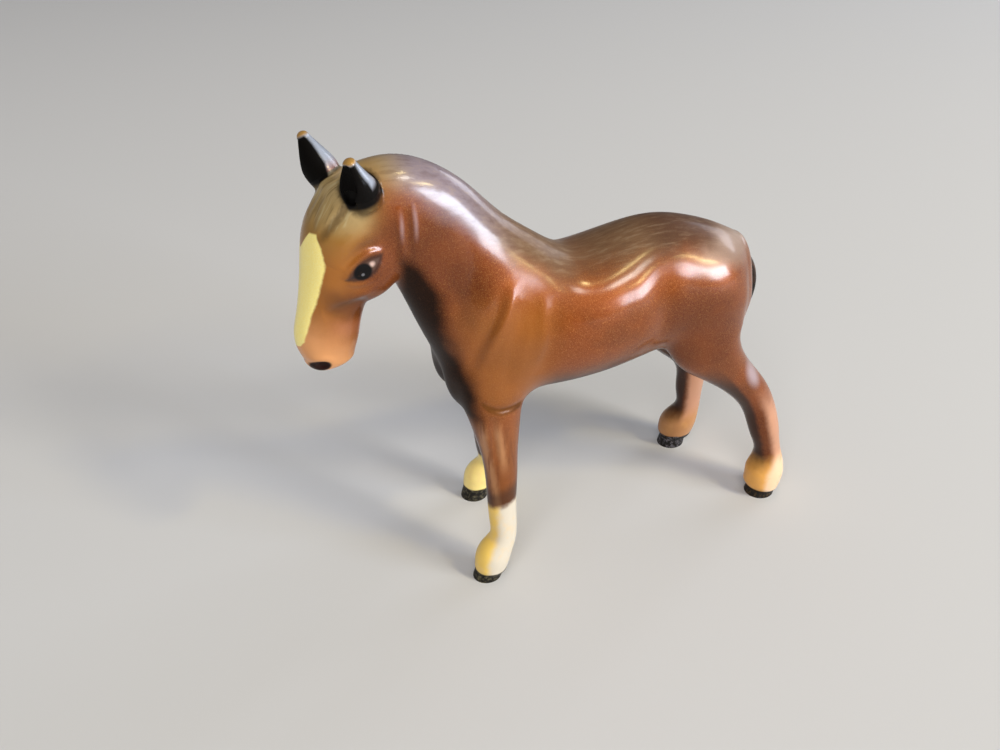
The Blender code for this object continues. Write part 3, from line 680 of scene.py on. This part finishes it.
# %% Legs
for name, leg in legs.items():
    low, high = leg.form.low - 4, leg.form.high + 4
    low[2], high[2] = -1.2, seams[name].through[2] + 9
    low[1], high[1] = (-0.6, 20) if leg.side > 0 else (-20, 0.6)
    leg_space = Space(low, high, leg_step)
    whole(leg_space)
    planes = [((0, 0, 0), (0, -leg.side, 0), None, False), (seams[name].through, seams[name].way),
              ((0, 0, 0), (0, 0, -1))]
    pieces[name] = make_piece(name, leg_space, planes, (*leg.hoof_place, 1))

# %% Tail
tail_space = Space(tail.low - 1, tail.high + 1, head_step)
put(tail_space, tail, 1.0)
pieces["tail"] = make_piece("tail", tail_space, [], (-38, 0, 55))

# %% [markdown]
# ## Paint
#
# Shader sums are easier to read as sums than as a web of nodes. `Wire` holds one socket, and adding, taking
# away or multiplying wires adds the Math nodes. `node` makes any other node. Colours are written as red, green
# and blue as a screen shows them.

# %% Sums of sockets
class Wire:
    """One socket of a material, ready for sums."""

    def __init__(self, tree, socket):
        self.tree, self.socket = tree, socket

    def node(self, kind, settings=None, values=None, out=0):
        """Adds a node: its type, then its settings, then the values or wires of its sockets."""
        made = self.tree.nodes.new(kind)
        for name, setting in (settings or {}).items():
            if name == "stops":
                ramp = made.color_ramp.elements
                while len(ramp) < len(setting):
                    ramp.new(1.0)
                for element, (place, colour) in zip(ramp, setting):
                    element.position, element.color = place, colour
            else:
                setattr(made, name, setting)
        for name, value in (values or {}).items():
            if isinstance(value, Wire):
                self.tree.links.new(value.socket, made.inputs[name])
            else:
                made.inputs[name].default_value = value
        return Wire(self.tree, made.outputs[out])

    def maths(self, operation, *values):
        return self.node("ShaderNodeMath", {"operation": operation}, dict(enumerate(values)))

    def __add__(self, other): return self.maths("ADD", self, other)
    def __radd__(self, other): return self.maths("ADD", other, self)
    def __sub__(self, other): return self.maths("SUBTRACT", self, other)
    def __rsub__(self, other): return self.maths("SUBTRACT", other, self)
    def __mul__(self, other): return self.maths("MULTIPLY", self, other)
    def __truediv__(self, other): return self.maths("DIVIDE", self, other)
    def __pow__(self, other): return self.maths("POWER", self, other)
    def __abs__(self): return self.maths("ABSOLUTE", self)


# %% Masks
def ease(value, low, high):
    """0 below low, 1 above high, and a soft step between."""
    return value.node("ShaderNodeMapRange", {"interpolation_type": "SMOOTHSTEP"},
                      {"Value": value, "From Min": low, "From Max": high})


def fall(value, low, high):
    """1 below low and 0 above high."""
    return 1 - ease(value, low, high)


def band(value, low, high, soft):
    """1 between low and high, with soft ends."""
    return ease(value, low - soft, low + soft) * fall(value, high - soft, high + soft)


def disc(inner, outer, first, second):
    """1 within the inner distance of a spot and 0 beyond the outer one, from two offsets."""
    return fall((first ** 2 + second ** 2) ** 0.5, inner, outer)


def both(first, second):
    return first.maths("MINIMUM", first, second)


def either(first, *others):
    for other in others:
        first = first.maths("MAXIMUM", first, other)
    return first


def table(value, rows):
    """A number read off a table of (place, number) rows."""
    low, high = rows[0][0], rows[-1][0]
    most = max(number for _, number in rows)
    stops = [((place - low) / (high - low), (number / most,) * 3 + (1,)) for place, number in rows]
    share = value.node("ShaderNodeMapRange", {}, {"Value": value, "From Min": low, "From Max": high})
    return share.node("ShaderNodeValToRGB", {"stops": stops}, {0: share}) * most


# %% Colours
def colour(red, green, blue):
    """A colour as seen on a screen, turned into the light it returns."""
    parts = np.array([red, green, blue]) / 255
    return (*np.where(parts <= 0.04045, parts / 12.92, ((parts + 0.055) / 1.055) ** 2.4).tolist(), 1.0)


def over(mask, below, above):
    """One colour over another where the mask is 1."""
    below, above = (part if isinstance(part, Wire) else colour(*part) for part in (below, above))
    return mask.node("ShaderNodeMix", {"data_type": "RGBA"}, {0: mask, 6: below, 7: above}, out=2)


def spray(base, *layers):
    """Lays colours on a base in turn, each through its mask."""
    for mask, layer in layers:
        base = over(mask, base, layer)
    return base


# %% A paint job
lacquer_settings = {"Coat Roughness": 0.16, "Coat IOR": 1.42, "Specular IOR Level": 0.10}


class Paint:
    """A material with its places in the drawing's millimetres."""

    def __init__(self, name):
        self.material = bpy.data.materials.new(name)
        self.material.use_nodes = True
        self.tree = self.material.node_tree
        self.shader = self.tree.nodes["Principled BSDF"]
        start = self.tree.nodes.new("ShaderNodeTexCoord")
        raw = Wire(self.tree, start.outputs["Object"])
        self.place = raw.node("ShaderNodeVectorMath", {"operation": "MULTIPLY_ADD"}, {
            0: raw, 1: (1 / millimetre,) * 3, 2: tuple(-set_down)})
        split = self.tree.nodes.new("ShaderNodeSeparateXYZ")
        self.tree.links.new(self.place.socket, split.inputs[0])
        self.x, self.y, self.z = (Wire(self.tree, socket) for socket in split.outputs)
        self.side = abs(self.y)

    def noise(self, size, detail=2, rough=0.5, stretch=(1, 1, 1), shift=0):
        """Soft spots of one size in mm. A small stretch draws them out along that axis."""
        place = self.place.node("ShaderNodeMapping", {}, {
            "Vector": self.place, "Location": (shift, shift * 0.7, shift * 1.3), "Scale": stretch})
        return place.node("ShaderNodeTexNoise", {}, {
            "Vector": place, "Scale": 1 / size, "Detail": detail, "Roughness": rough})

    def finish(self, base, rough, metal, coat, relief, height=0.02):
        """Joins the paint to the shader. Relief is a wire, and its height is in mm."""
        for name, value in (("Base Color", base), ("Roughness", rough), ("Metallic", metal), ("Coat Weight", coat)):
            if isinstance(value, Wire):
                self.tree.links.new(value.socket, self.shader.inputs[name])
            else:
                self.shader.inputs[name].default_value = value
        for name, value in lacquer_settings.items():
            self.shader.inputs[name].default_value = value
        bump = relief.node("ShaderNodeBump", {}, {
            "Strength": 1.0, "Distance": height * millimetre, "Height": relief})
        self.tree.links.new(bump.socket, self.shader.inputs["Normal"])
        print(f"{self.material.name}: {len(self.tree.nodes)} nodes")
        return self.material


# %% [markdown]
# ### Pearl chestnut
#
# The coat is a brown pearl paint. Up close it is a grain of tiny mica flakes, each a little lighter, more
# golden or darker than the next. A grey brown with a painted sheen runs along the back, painted shade makes a
# darker red brown under the belly and at the throat, and a golden brown lies on the chest. All places are in
# millimetres in the drawing.

# %% The chestnut coat
def chestnut(paint, depth, plain):
    """The body colour. Depth is 1 where painted shade makes it deep brown, and plain is 1 where the flakes don't
    show.
    """
    grain = paint.noise(0.20, detail=1)
    flakes = ease(paint.noise(0.18, detail=0, shift=7), 0.58, 0.74)
    base = over(ease(paint.noise(9, detail=3, shift=3), 0.35, 0.65), (106, 47, 12), (128, 59, 15))
    return spray(base, (depth, (24, 9, 4)), (ease(grain, 0.3, 0.7) * (0.36 - depth * 0.32), (168, 98, 44)),
                 (flakes * (0.22 - depth * 0.2) * (1 - plain), (222, 160, 92))), grain


def coat_colour(paint):
    """Chestnut, with painted shade under the belly and throat, and the grey brown topline with its painted sheen.
    """
    x, y, z, side = paint.x, paint.y, paint.z, paint.side
    wander = paint.noise(5, shift=11) - 0.5
    belly_shade = fall(z + wander * 3, 45, 54.5) * band(x, -14, 17, 6)
    # painted shade: the front of the neck and breast is dark ahead of a line that swings with the height
    front = table(z, [(44, 31.5), (50, 31.6), (55, 32.8), (60, 35.2), (65, 36.6), (70, 36.2), (73, 36.4),
                      (77, 39.2), (80, 41.8), (84, 46), (88, 55)])
    throat = ease(x - front + wander * 2.5, -3, 1.2) * fall(x, 41.6, 44.6) * ease(z, 40, 46)
    # painted shade in the glued crease at the elbow, which lies further back on the right
    along_crease = x + ease(y * -1, -0.5, 0.5) * 2.1
    crease = z - table(along_crease, [(20, 46.3), (24, 46.6), (27, 47), (29.2, 48.1), (31.5, 50.2)])
    crease = band(crease, -1.2, 0.3, 0.5) * band(along_crease, 21, 30.8, 1.2) * ease(side, 8, 10)
    # painted shade under the belly, at the throat and in the elbow crease; the legs also darken towards the bottom
    deep = either(belly_shade * 0.9, throat, fall(z, 24, 40) * 0.35, crease * 0.9)
    base, grain = chestnut(paint, deep, either(ease(x, 40, 46), fall(z, 26, 40)) * 0.7)
    gold = band(x, 15, 34, 5) * band(z + wander * 4, 46, 70, 5) * (1 - throat)
    # the side of the neck and the thigh
    shaded = either(band(x, 27, 42, 3) * band(z, 72, 90, 4), band(x, -31, -12, 4) * band(z, 44, 63, 4))
    # the grey is brushed along the back with a painted sheen, bluish on the crest, darkest on the croup and palest
    # at the poll and the rump
    back = table(x, [(-42, 61), (-34, 65.5), (-20, 68), (-5, 68.5), (12, 68), (22, 74), (34, 85), (42, 91),
                     (50, 93)])
    top = ease(z - back + wander * 3, 0, 7)
    combed = paint.noise(0.8, detail=3, rough=0.6, stretch=(0.14, 1, 0.6), shift=17)
    grey = spray(
        over(ease(x, 18, 32), (112, 90, 68), (134, 126, 136)),
        (ease(x + z, 128, 138) * ease(x, 38, 46), (160, 140, 100)),
        (band(x + wander * 4, -28, -10, 4) * 0.8, (66, 49, 40)),
        (fall(x + wander * 6, -36, -27), (138, 118, 104)),
        (ease(combed, 0.48, 0.72) * 0.25, (170, 152, 128)),
        (fall(combed, 0.3, 0.52) * 0.3, (70, 52, 42)))
    # dust with a painted sheen on the rump, and two painted highlights on the folds behind the cheek
    dust_and_sheen = band(x + wander * 5, -37, -20, 3) * band(z + wander * 3, 67, 72, 2)
    fold_highlights = either(*(band(x + wander * 0.5, start, start + 0.6, 0.4) * band(z, 85.5, high, 2)
                     for start, high in ((42.3, 89.5), (39.8, 91))))
    return spray(
        base, (gold * 0.55, (158, 96, 34)), (shaded * 0.35 * (1 - deep), (66, 26, 6)), (top * 0.85, grey),
        (dust_and_sheen * 0.5, (178, 160, 146)), (fold_highlights * ease(side, 2.5, 4.5) * 0.5, (184, 156, 158))), grain, top, deep


# %% Body material
def lacquer(paint, base, grain, top, deep):
    """The rubbed pearl coat under clear lacquer: colour, roughness, metal, lacquer and relief."""
    rub = ease(paint.noise(2.2, detail=4, rough=0.7, shift=21), 0.62, 0.8)
    # the lacquer is dull along the back, behind the shoulder, in the flank and in the deep brown
    handled = band(paint.x, 9, 22.5, 3) * band(paint.z, 62, 73.5, 2.5)
    flank = band(paint.x, -15, -8, 2.5) * band(paint.z, 63, 78, 3)
    dull = either(top * fall(paint.x, 16, 27), deep, handled)
    metal = 0.32 - top * 0.2 - either(handled, flank) * 0.2
    lacquered = (0.88 - rub * 0.25) * (1 - dull * 0.8) * (1 - flank * 0.92)
    relief = grain * 0.5 + paint.noise(1.6, detail=1, shift=5) * 1.2
    return over(rub * 0.1, base, (170, 130, 100)), 0.38 + grain * 0.12 + rub * 0.1, metal, lacquered, relief


def make_coat():
    paint = Paint("pearl_chestnut_coat")
    return paint.finish(*lacquer(paint, *coat_colour(paint)))


coat = make_coat()

# %% Ear material
# height of the black root, how far the edge of the black faces across and ahead, and its distance by height
ear_edges = {"left_ear": (4.2, 0.82, -0.56, [(4, 2.6), (5.3, 2.3), (7.6, 1.4), (9.2, 0.8)]),
             "right_ear": (1.6, 0, -1, [(1, 1.7), (4, 2.1), (6, 1.7), (7.5, 1.3), (9.5, 0.6)])}


def ear_places(paint, name):
    """How far up an ear, ahead of its middle, across it and off its line a place is, and the ear's length."""
    ear = ears[name]
    length = float(np.linalg.norm(ear.tip - ear.root))
    way = ((ear.tip - ear.root) / length).tolist()
    opens = (ear.opens / np.linalg.norm(ear.opens)).tolist()
    off = [axis - start for axis, start in zip((paint.x, paint.y, paint.z), ear.root.tolist())]
    up = off[0] * way[0] + off[1] * way[1] + off[2] * way[2]
    ahead = off[0] * opens[0] + off[1] * opens[1] - up * (way[0] * opens[0] + way[1] * opens[1])
    across = off[1] * opens[0] - off[0] * opens[1] - up * (way[1] * opens[0] - way[0] * opens[1])
    gap = (off[0] ** 2 + off[1] ** 2 + off[2] ** 2 - up ** 2) ** 0.5
    return up, ahead, across, gap, length


def ear_zones(paint, name, base):
    """Paints one ear: a pale bluish back that is a painted highlight, a black cup and root, and a gold tip. Also
    returns the black mask.
    """
    up, ahead, across, _, length = ear_places(paint, name)
    root, sideways, forward, edge = ear_edges[name]
    # the pale back with its painted highlight is what lies behind an edge that runs up the ear
    back = across * sideways + ahead * forward - table(up, edge)
    black = either(fall(back, -0.2, 0.2), fall(up, root - 0.7, root + 0.7)) * fall(up, length, length + 0.5)
    return spray(base, (ease(up, 1, 5), (158, 164, 178)), (ease(up, length - 0.1, length + 0.7), (176, 134, 68)),
                 (black, (6, 4, 3))), black


def make_ear_paint(name):
    paint = Paint(f"{name}_paint")
    base, grain = chestnut(paint, paint.z * 0, paint.z * 0)
    base, black = ear_zones(paint, name, base)
    return paint.finish(base, 0.4 + grain * 0.1 + black * 0.3, 0.25 - black * 0.25, 0.85 - black * 0.8, grain)


ear_paints = {name: make_ear_paint(name) for name in ears}

# %% Head material
# half width of the blaze by height, and its upper edge by distance from the middle
blaze_halves = [(64.6, 0), (65.4, 2.2), (66.6, 3), (69, 3.3), (72, 3.5), (74.8, 4.1), (77.8, 4.7), (80.2, 5.2),
                (82.4, 5.6), (84.4, 5.5), (86, 5.1), (87.6, 4.3), (92, 2.4)]
blaze_top = [(0, 84.6), (0.8, 85.4), (2.6, 88.2), (6, 88.4)]
eye_x, eye_z, eye_cos, eye_sin = 50.0, 81.2, 0.889, 0.457
nostril_x, nostril_z = 59.9, 60.9


def make_head_paint():
    paint = Paint("head_paint")
    x, z, side = paint.x, paint.z, paint.side
    base, grain, top, deep = coat_colour(paint)
    fine = paint.noise(0.8, detail=3, shift=31) - 0.5
    broad = paint.noise(4, shift=35) - 0.5
    # golden brown beside the blaze, olive on the brow, painted shade in the cheek hollow under the eye and a
    # painted highlight on the ridge below it, tan on the muzzle
    cheek = z - (x - 54) * 0.35 + broad * 2
    base = spray(
        base,
        (ease(x + (z - 80) * 0.1 + broad * 3, 48, 55.5) * ease(z, 62, 76) * 0.8, (172, 108, 38)),
        (ease(z + broad * 2 + (x - 52) * 0.3, 82, 92) * ease(x, 43, 50) * 0.85, (158, 122, 60)),
        (band(cheek, 70.5, 76.5, 2) * fall(x, 55, 60) * ease(x, 46.5, 50.5) * 0.65, (74, 36, 18)),
        (band(cheek, 66.5, 69.5, 1.5) * fall(x, 55, 58.5) * 0.4, (190, 122, 88)),
        (fall(z - (x - 56) * 0.9 + broad * 3, 60, 72) * 0.9, (232, 164, 106)))
    # hair strokes of the forelock, and painted shade in the groove between it and the brow
    streak = paint.noise(1, stretch=(0.22, 2, 0.14), shift=41)
    forelock = ease(z + side * 0.3 + broad, 89.5, 92.5) * ease(x, 50, 53)
    groove_shade = fall(abs((z - 93.2 + (x - 51.6) * 1.07) * 0.68 + fine * 0.8), 0.1, 1)
    groove_shade = groove_shade * band(x, 50.5, 57, 1.2) * ease(side, 2.2, 3.8)
    base = spray(
        base,
        (ease(z + side * 0.3 + broad * 2, 88.5, 93.5) * ease(x, 46, 50) * 0.7, (182, 158, 110)),
        (ease(z, 92.5, 96.5) * ease(x, 47, 51) * 0.45, (206, 180, 130)),
        (forelock * fall(streak, 0.36, 0.5) * 0.45, (96, 76, 44)),
        (forelock * ease(streak, 0.54, 0.68) * 0.6, (198, 182, 138)),
        (groove_shade * 0.5, (78, 56, 32)))
    blaze = both(ease(table(z, blaze_halves) - side + fine * 0.2, -0.12, 0.22),
                 ease(table(side, blaze_top) - z + fine * 0.2, -0.15, 0.3))
    blaze = blaze * ease(x + (z - 80.5) * 0.29, 54, 55.2)
    # the eye is an almond along its own slant: u runs back along it and v up across it
    u = (x - eye_x) * -eye_cos + (z - eye_z) * eye_sin
    v = (x - eye_x) * eye_sin + (z - eye_z) * eye_cos
    arch = 1 - (u / 3.95) ** 2
    inside = both(arch * 1.6 - v, arch * 2.1 + v)
    on_side = ease(side, 3, 3.6)
    rim = ease(inside + fine * 0.4, -0.85, 0.35) * on_side
    white = ease(inside, 0.3, 1) * on_side
    iris = disc(1.45, 2.05, u + 0.68, v + 0.3) * ease(inside, -0.5, 0.2) * on_side
    nostril = disc(0.85, 1.15, (x - nostril_x) / 2, (z - nostril_z) / 1.45)
    base = spray(
        base,
        (blaze, over(ease(grain, 0.3, 0.7), (254, 234, 138), (255, 240, 156))),
        (rim * 0.85, (44, 20, 12)),
        (white * 0.85, over(ease(u, -1.2, 0.6), (40, 26, 24), (88, 64, 54))),
        (disc(0.1, 0.8, (u - 1.45) * 0.9, v + 0.1) * on_side * white * 0.85, (216, 184, 172)),
        (iris, (10, 8, 9)),
        # a painted highlight: a small grey glint low in the iris
        (disc(0.18, 0.42, u + 0.95, v + 0.75) * on_side * 0.6, (130, 130, 136)),
        (nostril * ease(side, 1.2, 1.8), (34, 14, 10)))
    # dark shade round the ear roots, and the lower part of each ear
    ear_black_and_root_shade = x * 0
    for name in ears:
        up, _, _, gap, _ = ear_places(paint, name)
        root_shade = fall(gap + fine - up * 0.2, 2.7, 3.8) * ease(up, -2.5, 1)
        base = over(root_shade * 0.75, base, (24, 14, 9))
        on_ear = fall(gap, 3.3, 3.7) * ease(up, 0.5, 1.5)
        painted, black = ear_zones(paint, name, base)
        base = over(on_ear, base, painted)
        ear_black_and_root_shade = either(ear_black_and_root_shade, root_shade * 0.9, on_ear * black)
    matt = either(blaze, ear_black_and_root_shade, rim, nostril)
    base, rough, metal, coat, relief = lacquer(paint, base, grain, top, deep)
    return paint.finish(base, rough, metal * (1 - matt), coat - either(iris * 0.7, nostril * 0.7, ear_black_and_root_shade * 0.84),
                        relief + streak * forelock * 1.4)


head_paint = make_head_paint()

# %% Leg material
tendon_line = [(22, 0.7), (30, 1.4), (38, 2.2), (46, 1.6)]
# the middle of the painted highlight on the hock
hock_highlight_x, hock_highlight_z = -36.9, 38.3


def make_leg_paint(name, sock_top, front, lit_outside, blushed, worn_hoof):
    leg = legs[name]
    fore = "fore" in name
    paint = Paint(f"{name}_paint")
    x, y, z = paint.x, paint.y, paint.z
    wander = paint.noise(1.8, detail=3, shift=51) - 0.5
    base, grain, top, deep = coat_colour(paint)
    # how far ahead of the leg's middle line a place is, and how far out from it
    base_x, base_y = leg.rows[:, 0].min(), np.abs(leg.rows[:, 4]).min()
    ahead = x - float(base_x) - table(z, [(row[1], row[0] - base_x) for row in leg.rows[::-1]])
    out = y * leg.side - float(base_y) - table(z, [(row[1], abs(row[4]) - base_y) for row in leg.rows[::-1]])
    if fore:
        # painted shade on the inner front and a lighter outside; two pale tendons run down the brushed forearm as
        # painted highlights
        across = out * 0.385 - ahead * 0.92
        first = fall(abs(across + table(z, tendon_line) + wander * 0.8), 0, 1.5)
        second = fall(abs(across - 1.3 + wander * 0.8), 0, 1.5) * ease(z, 28, 36)
        brushed = paint.noise(1.2, detail=3, stretch=(1.2, 1.2, 0.16), shift=81)
        high = fall(z, 40, 45.5)
        base = spray(
            base,
            (ease(ahead * 0.7 - out * 0.7 + wander, 0.4, 2.2) * fall(z, 38, 48) * 0.75, (50, 24, 10)),
            (ease(out * 0.8 + ahead * 0.2 + wander, -0.4, 2) * high * 0.5, (150, 88, 38)),
            (fall(brushed, 0.36, 0.5) * high * 0.25, (84, 40, 14)),
            (either(first, second) * ease(brushed, 0.26, 0.52) * high * 0.5, (214, 158, 110)))
    else:
        # painted shade in front, peach behind that is partly painted light, and a painted highlight on the hock
        away = out * leg.side
        base = spray(
            base,
            (ease(ahead * 0.8 - away * 0.4 + wander, 0.3, 1.6) * fall(z, 34, 44) * 0.85, (40, 18, 8)),
            (ease(away * 0.5 - ahead * 0.8 + wander, *((0.6, 2.8) if leg.side > 0 else (-1, 0.8)))
             * fall(z + wander * 3, 24, 35) * 0.9, (214, 158, 126)),
            (disc(0.2, 1.2, (x - hock_highlight_x - (z - hock_highlight_z) * 0.34) / 2.4, (z - hock_highlight_z) / 4.2)
             * ease(out, -0.4, 1.2) * 0.6, (190, 176, 184)))
    # sock: deeper in front and pale outside, where part of the pale is painted light, with painted shade as a dark
    # soft edge above it on the forelegs
    hoof_x, hoof_y = leg.hoof_place
    outer = ease((y - hoof_y) * leg.side * 0.9 - (x - hoof_x) * 0.6 + wander * 1.2, 1.2, 3)
    edge = z + wander * 1.5 + (x - hoof_x) * 0.25
    soft = 1 if fore else 2.6
    sock = fall(edge, sock_top - soft, sock_top + soft)
    if fore:
        base = over(band(edge, sock_top - 0.5, sock_top + 4.5, 1.8) * 0.65, base, (44, 24, 14))
    blush = ease(paint.noise(2.4, shift=57), 0.5, 0.72)
    worn = ease(paint.noise(0.9, detail=5, rough=0.75, shift=61), 0.46, 0.66)
    hoof = fall(z + wander * 0.6, leg.hoof_height - 0.2, leg.hoof_height + 0.35)
    base = spray(base, (sock * 0.96, over(blush * 0.35, over(outer, front, lit_outside), blushed)),
                 (hoof, over(worn * 0.8, (30, 28, 26), worn_hoof)))
    base, rough, metal, coat, relief = lacquer(paint, base, grain, top, deep)
    return paint.finish(base, rough + hoof * 0.12, metal * (1 - either(sock, hoof)), coat - hoof * 0.5,
                        relief + worn * hoof * 0.8)


# the pale outside colours of the socks are partly painted light
sock_rows = [  # leg, top of the sock, its colours in front, outside and where it blushes, and the worn hoof
    ("left_foreleg", 20, (244, 206, 106), (216, 206, 188), (234, 202, 148), (104, 98, 76)),
    ("right_foreleg", 14, (255, 230, 146), (240, 222, 180), (240, 206, 140), (104, 98, 80)),
    ("left_hind_leg", 11, (230, 168, 88), (238, 202, 164), (214, 158, 92), (96, 76, 50)),
    ("right_hind_leg", 10.8, (184, 130, 82), (222, 172, 122), (206, 150, 90), (120, 116, 124))]
leg_paints = {name: make_leg_paint(name, *row) for name, *row in sock_rows}

# %% Tail material
def make_tail_paint():
    paint = Paint("tail_paint")
    strand = paint.noise(0.8, detail=3, stretch=(0.5, 2.4, 0.18), shift=71)
    grain = paint.noise(0.22, detail=1)
    base = over(ease(strand, 0.38, 0.66), (16, 9, 6), (74, 46, 30))
    return paint.finish(base, 0.42 + grain * 0.1, 0.2, 0.55, strand * 3 + grain * 0.4, height=0.04)


tail_paint = make_tail_paint()

# %% Give each piece its paint
slots = {"body_left_shell": (coat, "coat"), "body_right_shell": (coat, "coat"), "head": (head_paint, "coat"),
         "tail": (tail_paint, "tail_coat")}
slots |= {name: (paint, "ear_coat") for name, paint in ear_paints.items()}
slots |= {name: (paint, "leg_coat") for name, paint in leg_paints.items()}
for name, (paint, slot) in slots.items():
    pieces[name].data.materials.append(paint)

# %% [markdown]
# ## Floor, light and camera
#
# The floor is a plain pale sheet. Three soft windows stand beside and behind the horse's left side, so that
# their reflections run along the neck, the flank, the haunch and the rump. Two narrow warm lamps draw the gold
# lines on the back. A broad fill lamp lights the front without shining in the lacquer.

# %% Floor
floor_reach = 3.0


def make_floor():
    mesh = bpy.data.meshes.new("floor")
    corners = [(x * floor_reach, y * floor_reach, 0) for x, y in ((-1, -1), (1, -1), (1, 1), (-1, 1))]
    mesh.from_pydata(corners, [], [(0, 1, 2, 3)])
    material = bpy.data.materials.new("pale_floor")
    material.use_nodes = True
    shader = material.node_tree.nodes["Principled BSDF"]
    shader.inputs["Base Color"].default_value = colour(212, 212, 214)
    shader.inputs["Roughness"].default_value = 0.9
    shader.inputs["Specular IOR Level"].default_value = 0.0
    mesh.materials.append(material)
    add_object("floor", mesh)


make_floor()

# %% Lamps
aim = Vector((0, 0, 0.055))
daylight, gold_light = (0.80, 0.88, 1.0), (1.0, 0.80, 0.36)
lamps = [  # name, direction, then in metres distance, width and height, watts, tint, shines in the lacquer
    ("window", (-0.69, 0.71, 0.21), 1.5, 0.60, 0.34, 17.5, daylight, True),
    ("high_window", (-0.46, 0.64, 0.60), 1.5, 0.22, 0.16, 3.6, (1.0, 0.95, 0.86), True),
    ("back_window", (-0.91, -0.245, 0.34), 1.8, 0.90, 0.50, 8.0, (0.82, 0.88, 1.0), True),
    ("warm_strip", (-0.62, 0.67, 0.43), 1.5, 0.34, 0.045, 3.2, gold_light, True),
    ("warm_lamp", (-0.45, 0.50, 0.78), 1.5, 0.16, 0.06, 3.0, gold_light, True),
    ("front_fill", (0.50, 0.70, 0.85), 2.5, 1.6, 1.6, 29.0, (1.0, 0.96, 0.90), False)]
for name, way, distance, width, height, watts, tint, shines in lamps:
    light = bpy.data.lights.new(name, "AREA")
    light.shape, light.size, light.size_y = "RECTANGLE", width, height
    light.energy, light.color = watts, tint
    holder = add_object(name, light)
    holder.location = aim + Vector(way).normalized() * distance
    holder.rotation_euler = (aim - holder.location).to_track_quat("-Z", "Y").to_euler()
    holder.visible_glossy = shines

world = bpy.data.worlds.new("studio")
world.use_nodes = True
world.node_tree.nodes["Background"].inputs["Color"].default_value = colour(232, 234, 238)
world.node_tree.nodes["Background"].inputs["Strength"].default_value = 0.26
bpy.context.scene.world = world
print("lamps:", ", ".join(row[0] for row in lamps))

# %% Camera
# found by fitting points on the horse to the photograph: place in mm, and its right, up and back directions
camera_place = np.array([73.57, 140.53, 154.29]) * millimetre
right, up, back = (-0.92276, 0.38535, -0.00436), (-0.22621, -0.53246, 0.81567), (0.31199, 0.75365, 0.57850)
sensor_width, focal_pixels, picture_width = 36.0, 860.62, 1000
camera_data = bpy.data.cameras.new("camera")
camera_data.sensor_width, camera_data.lens = sensor_width, sensor_width * focal_pixels / picture_width
camera_data.clip_start = 0.005
camera = add_object("camera", camera_data)
camera.matrix_world = Matrix([*zip(right, up, back, camera_place.tolist()), (0, 0, 0, 1)])
bpy.context.scene.camera = camera
bpy.context.scene.view_settings.view_transform = "Standard"
print("lens:", round(camera_data.lens, 1), "mm")

# %% Finish
bpy.context.view_layer.update()
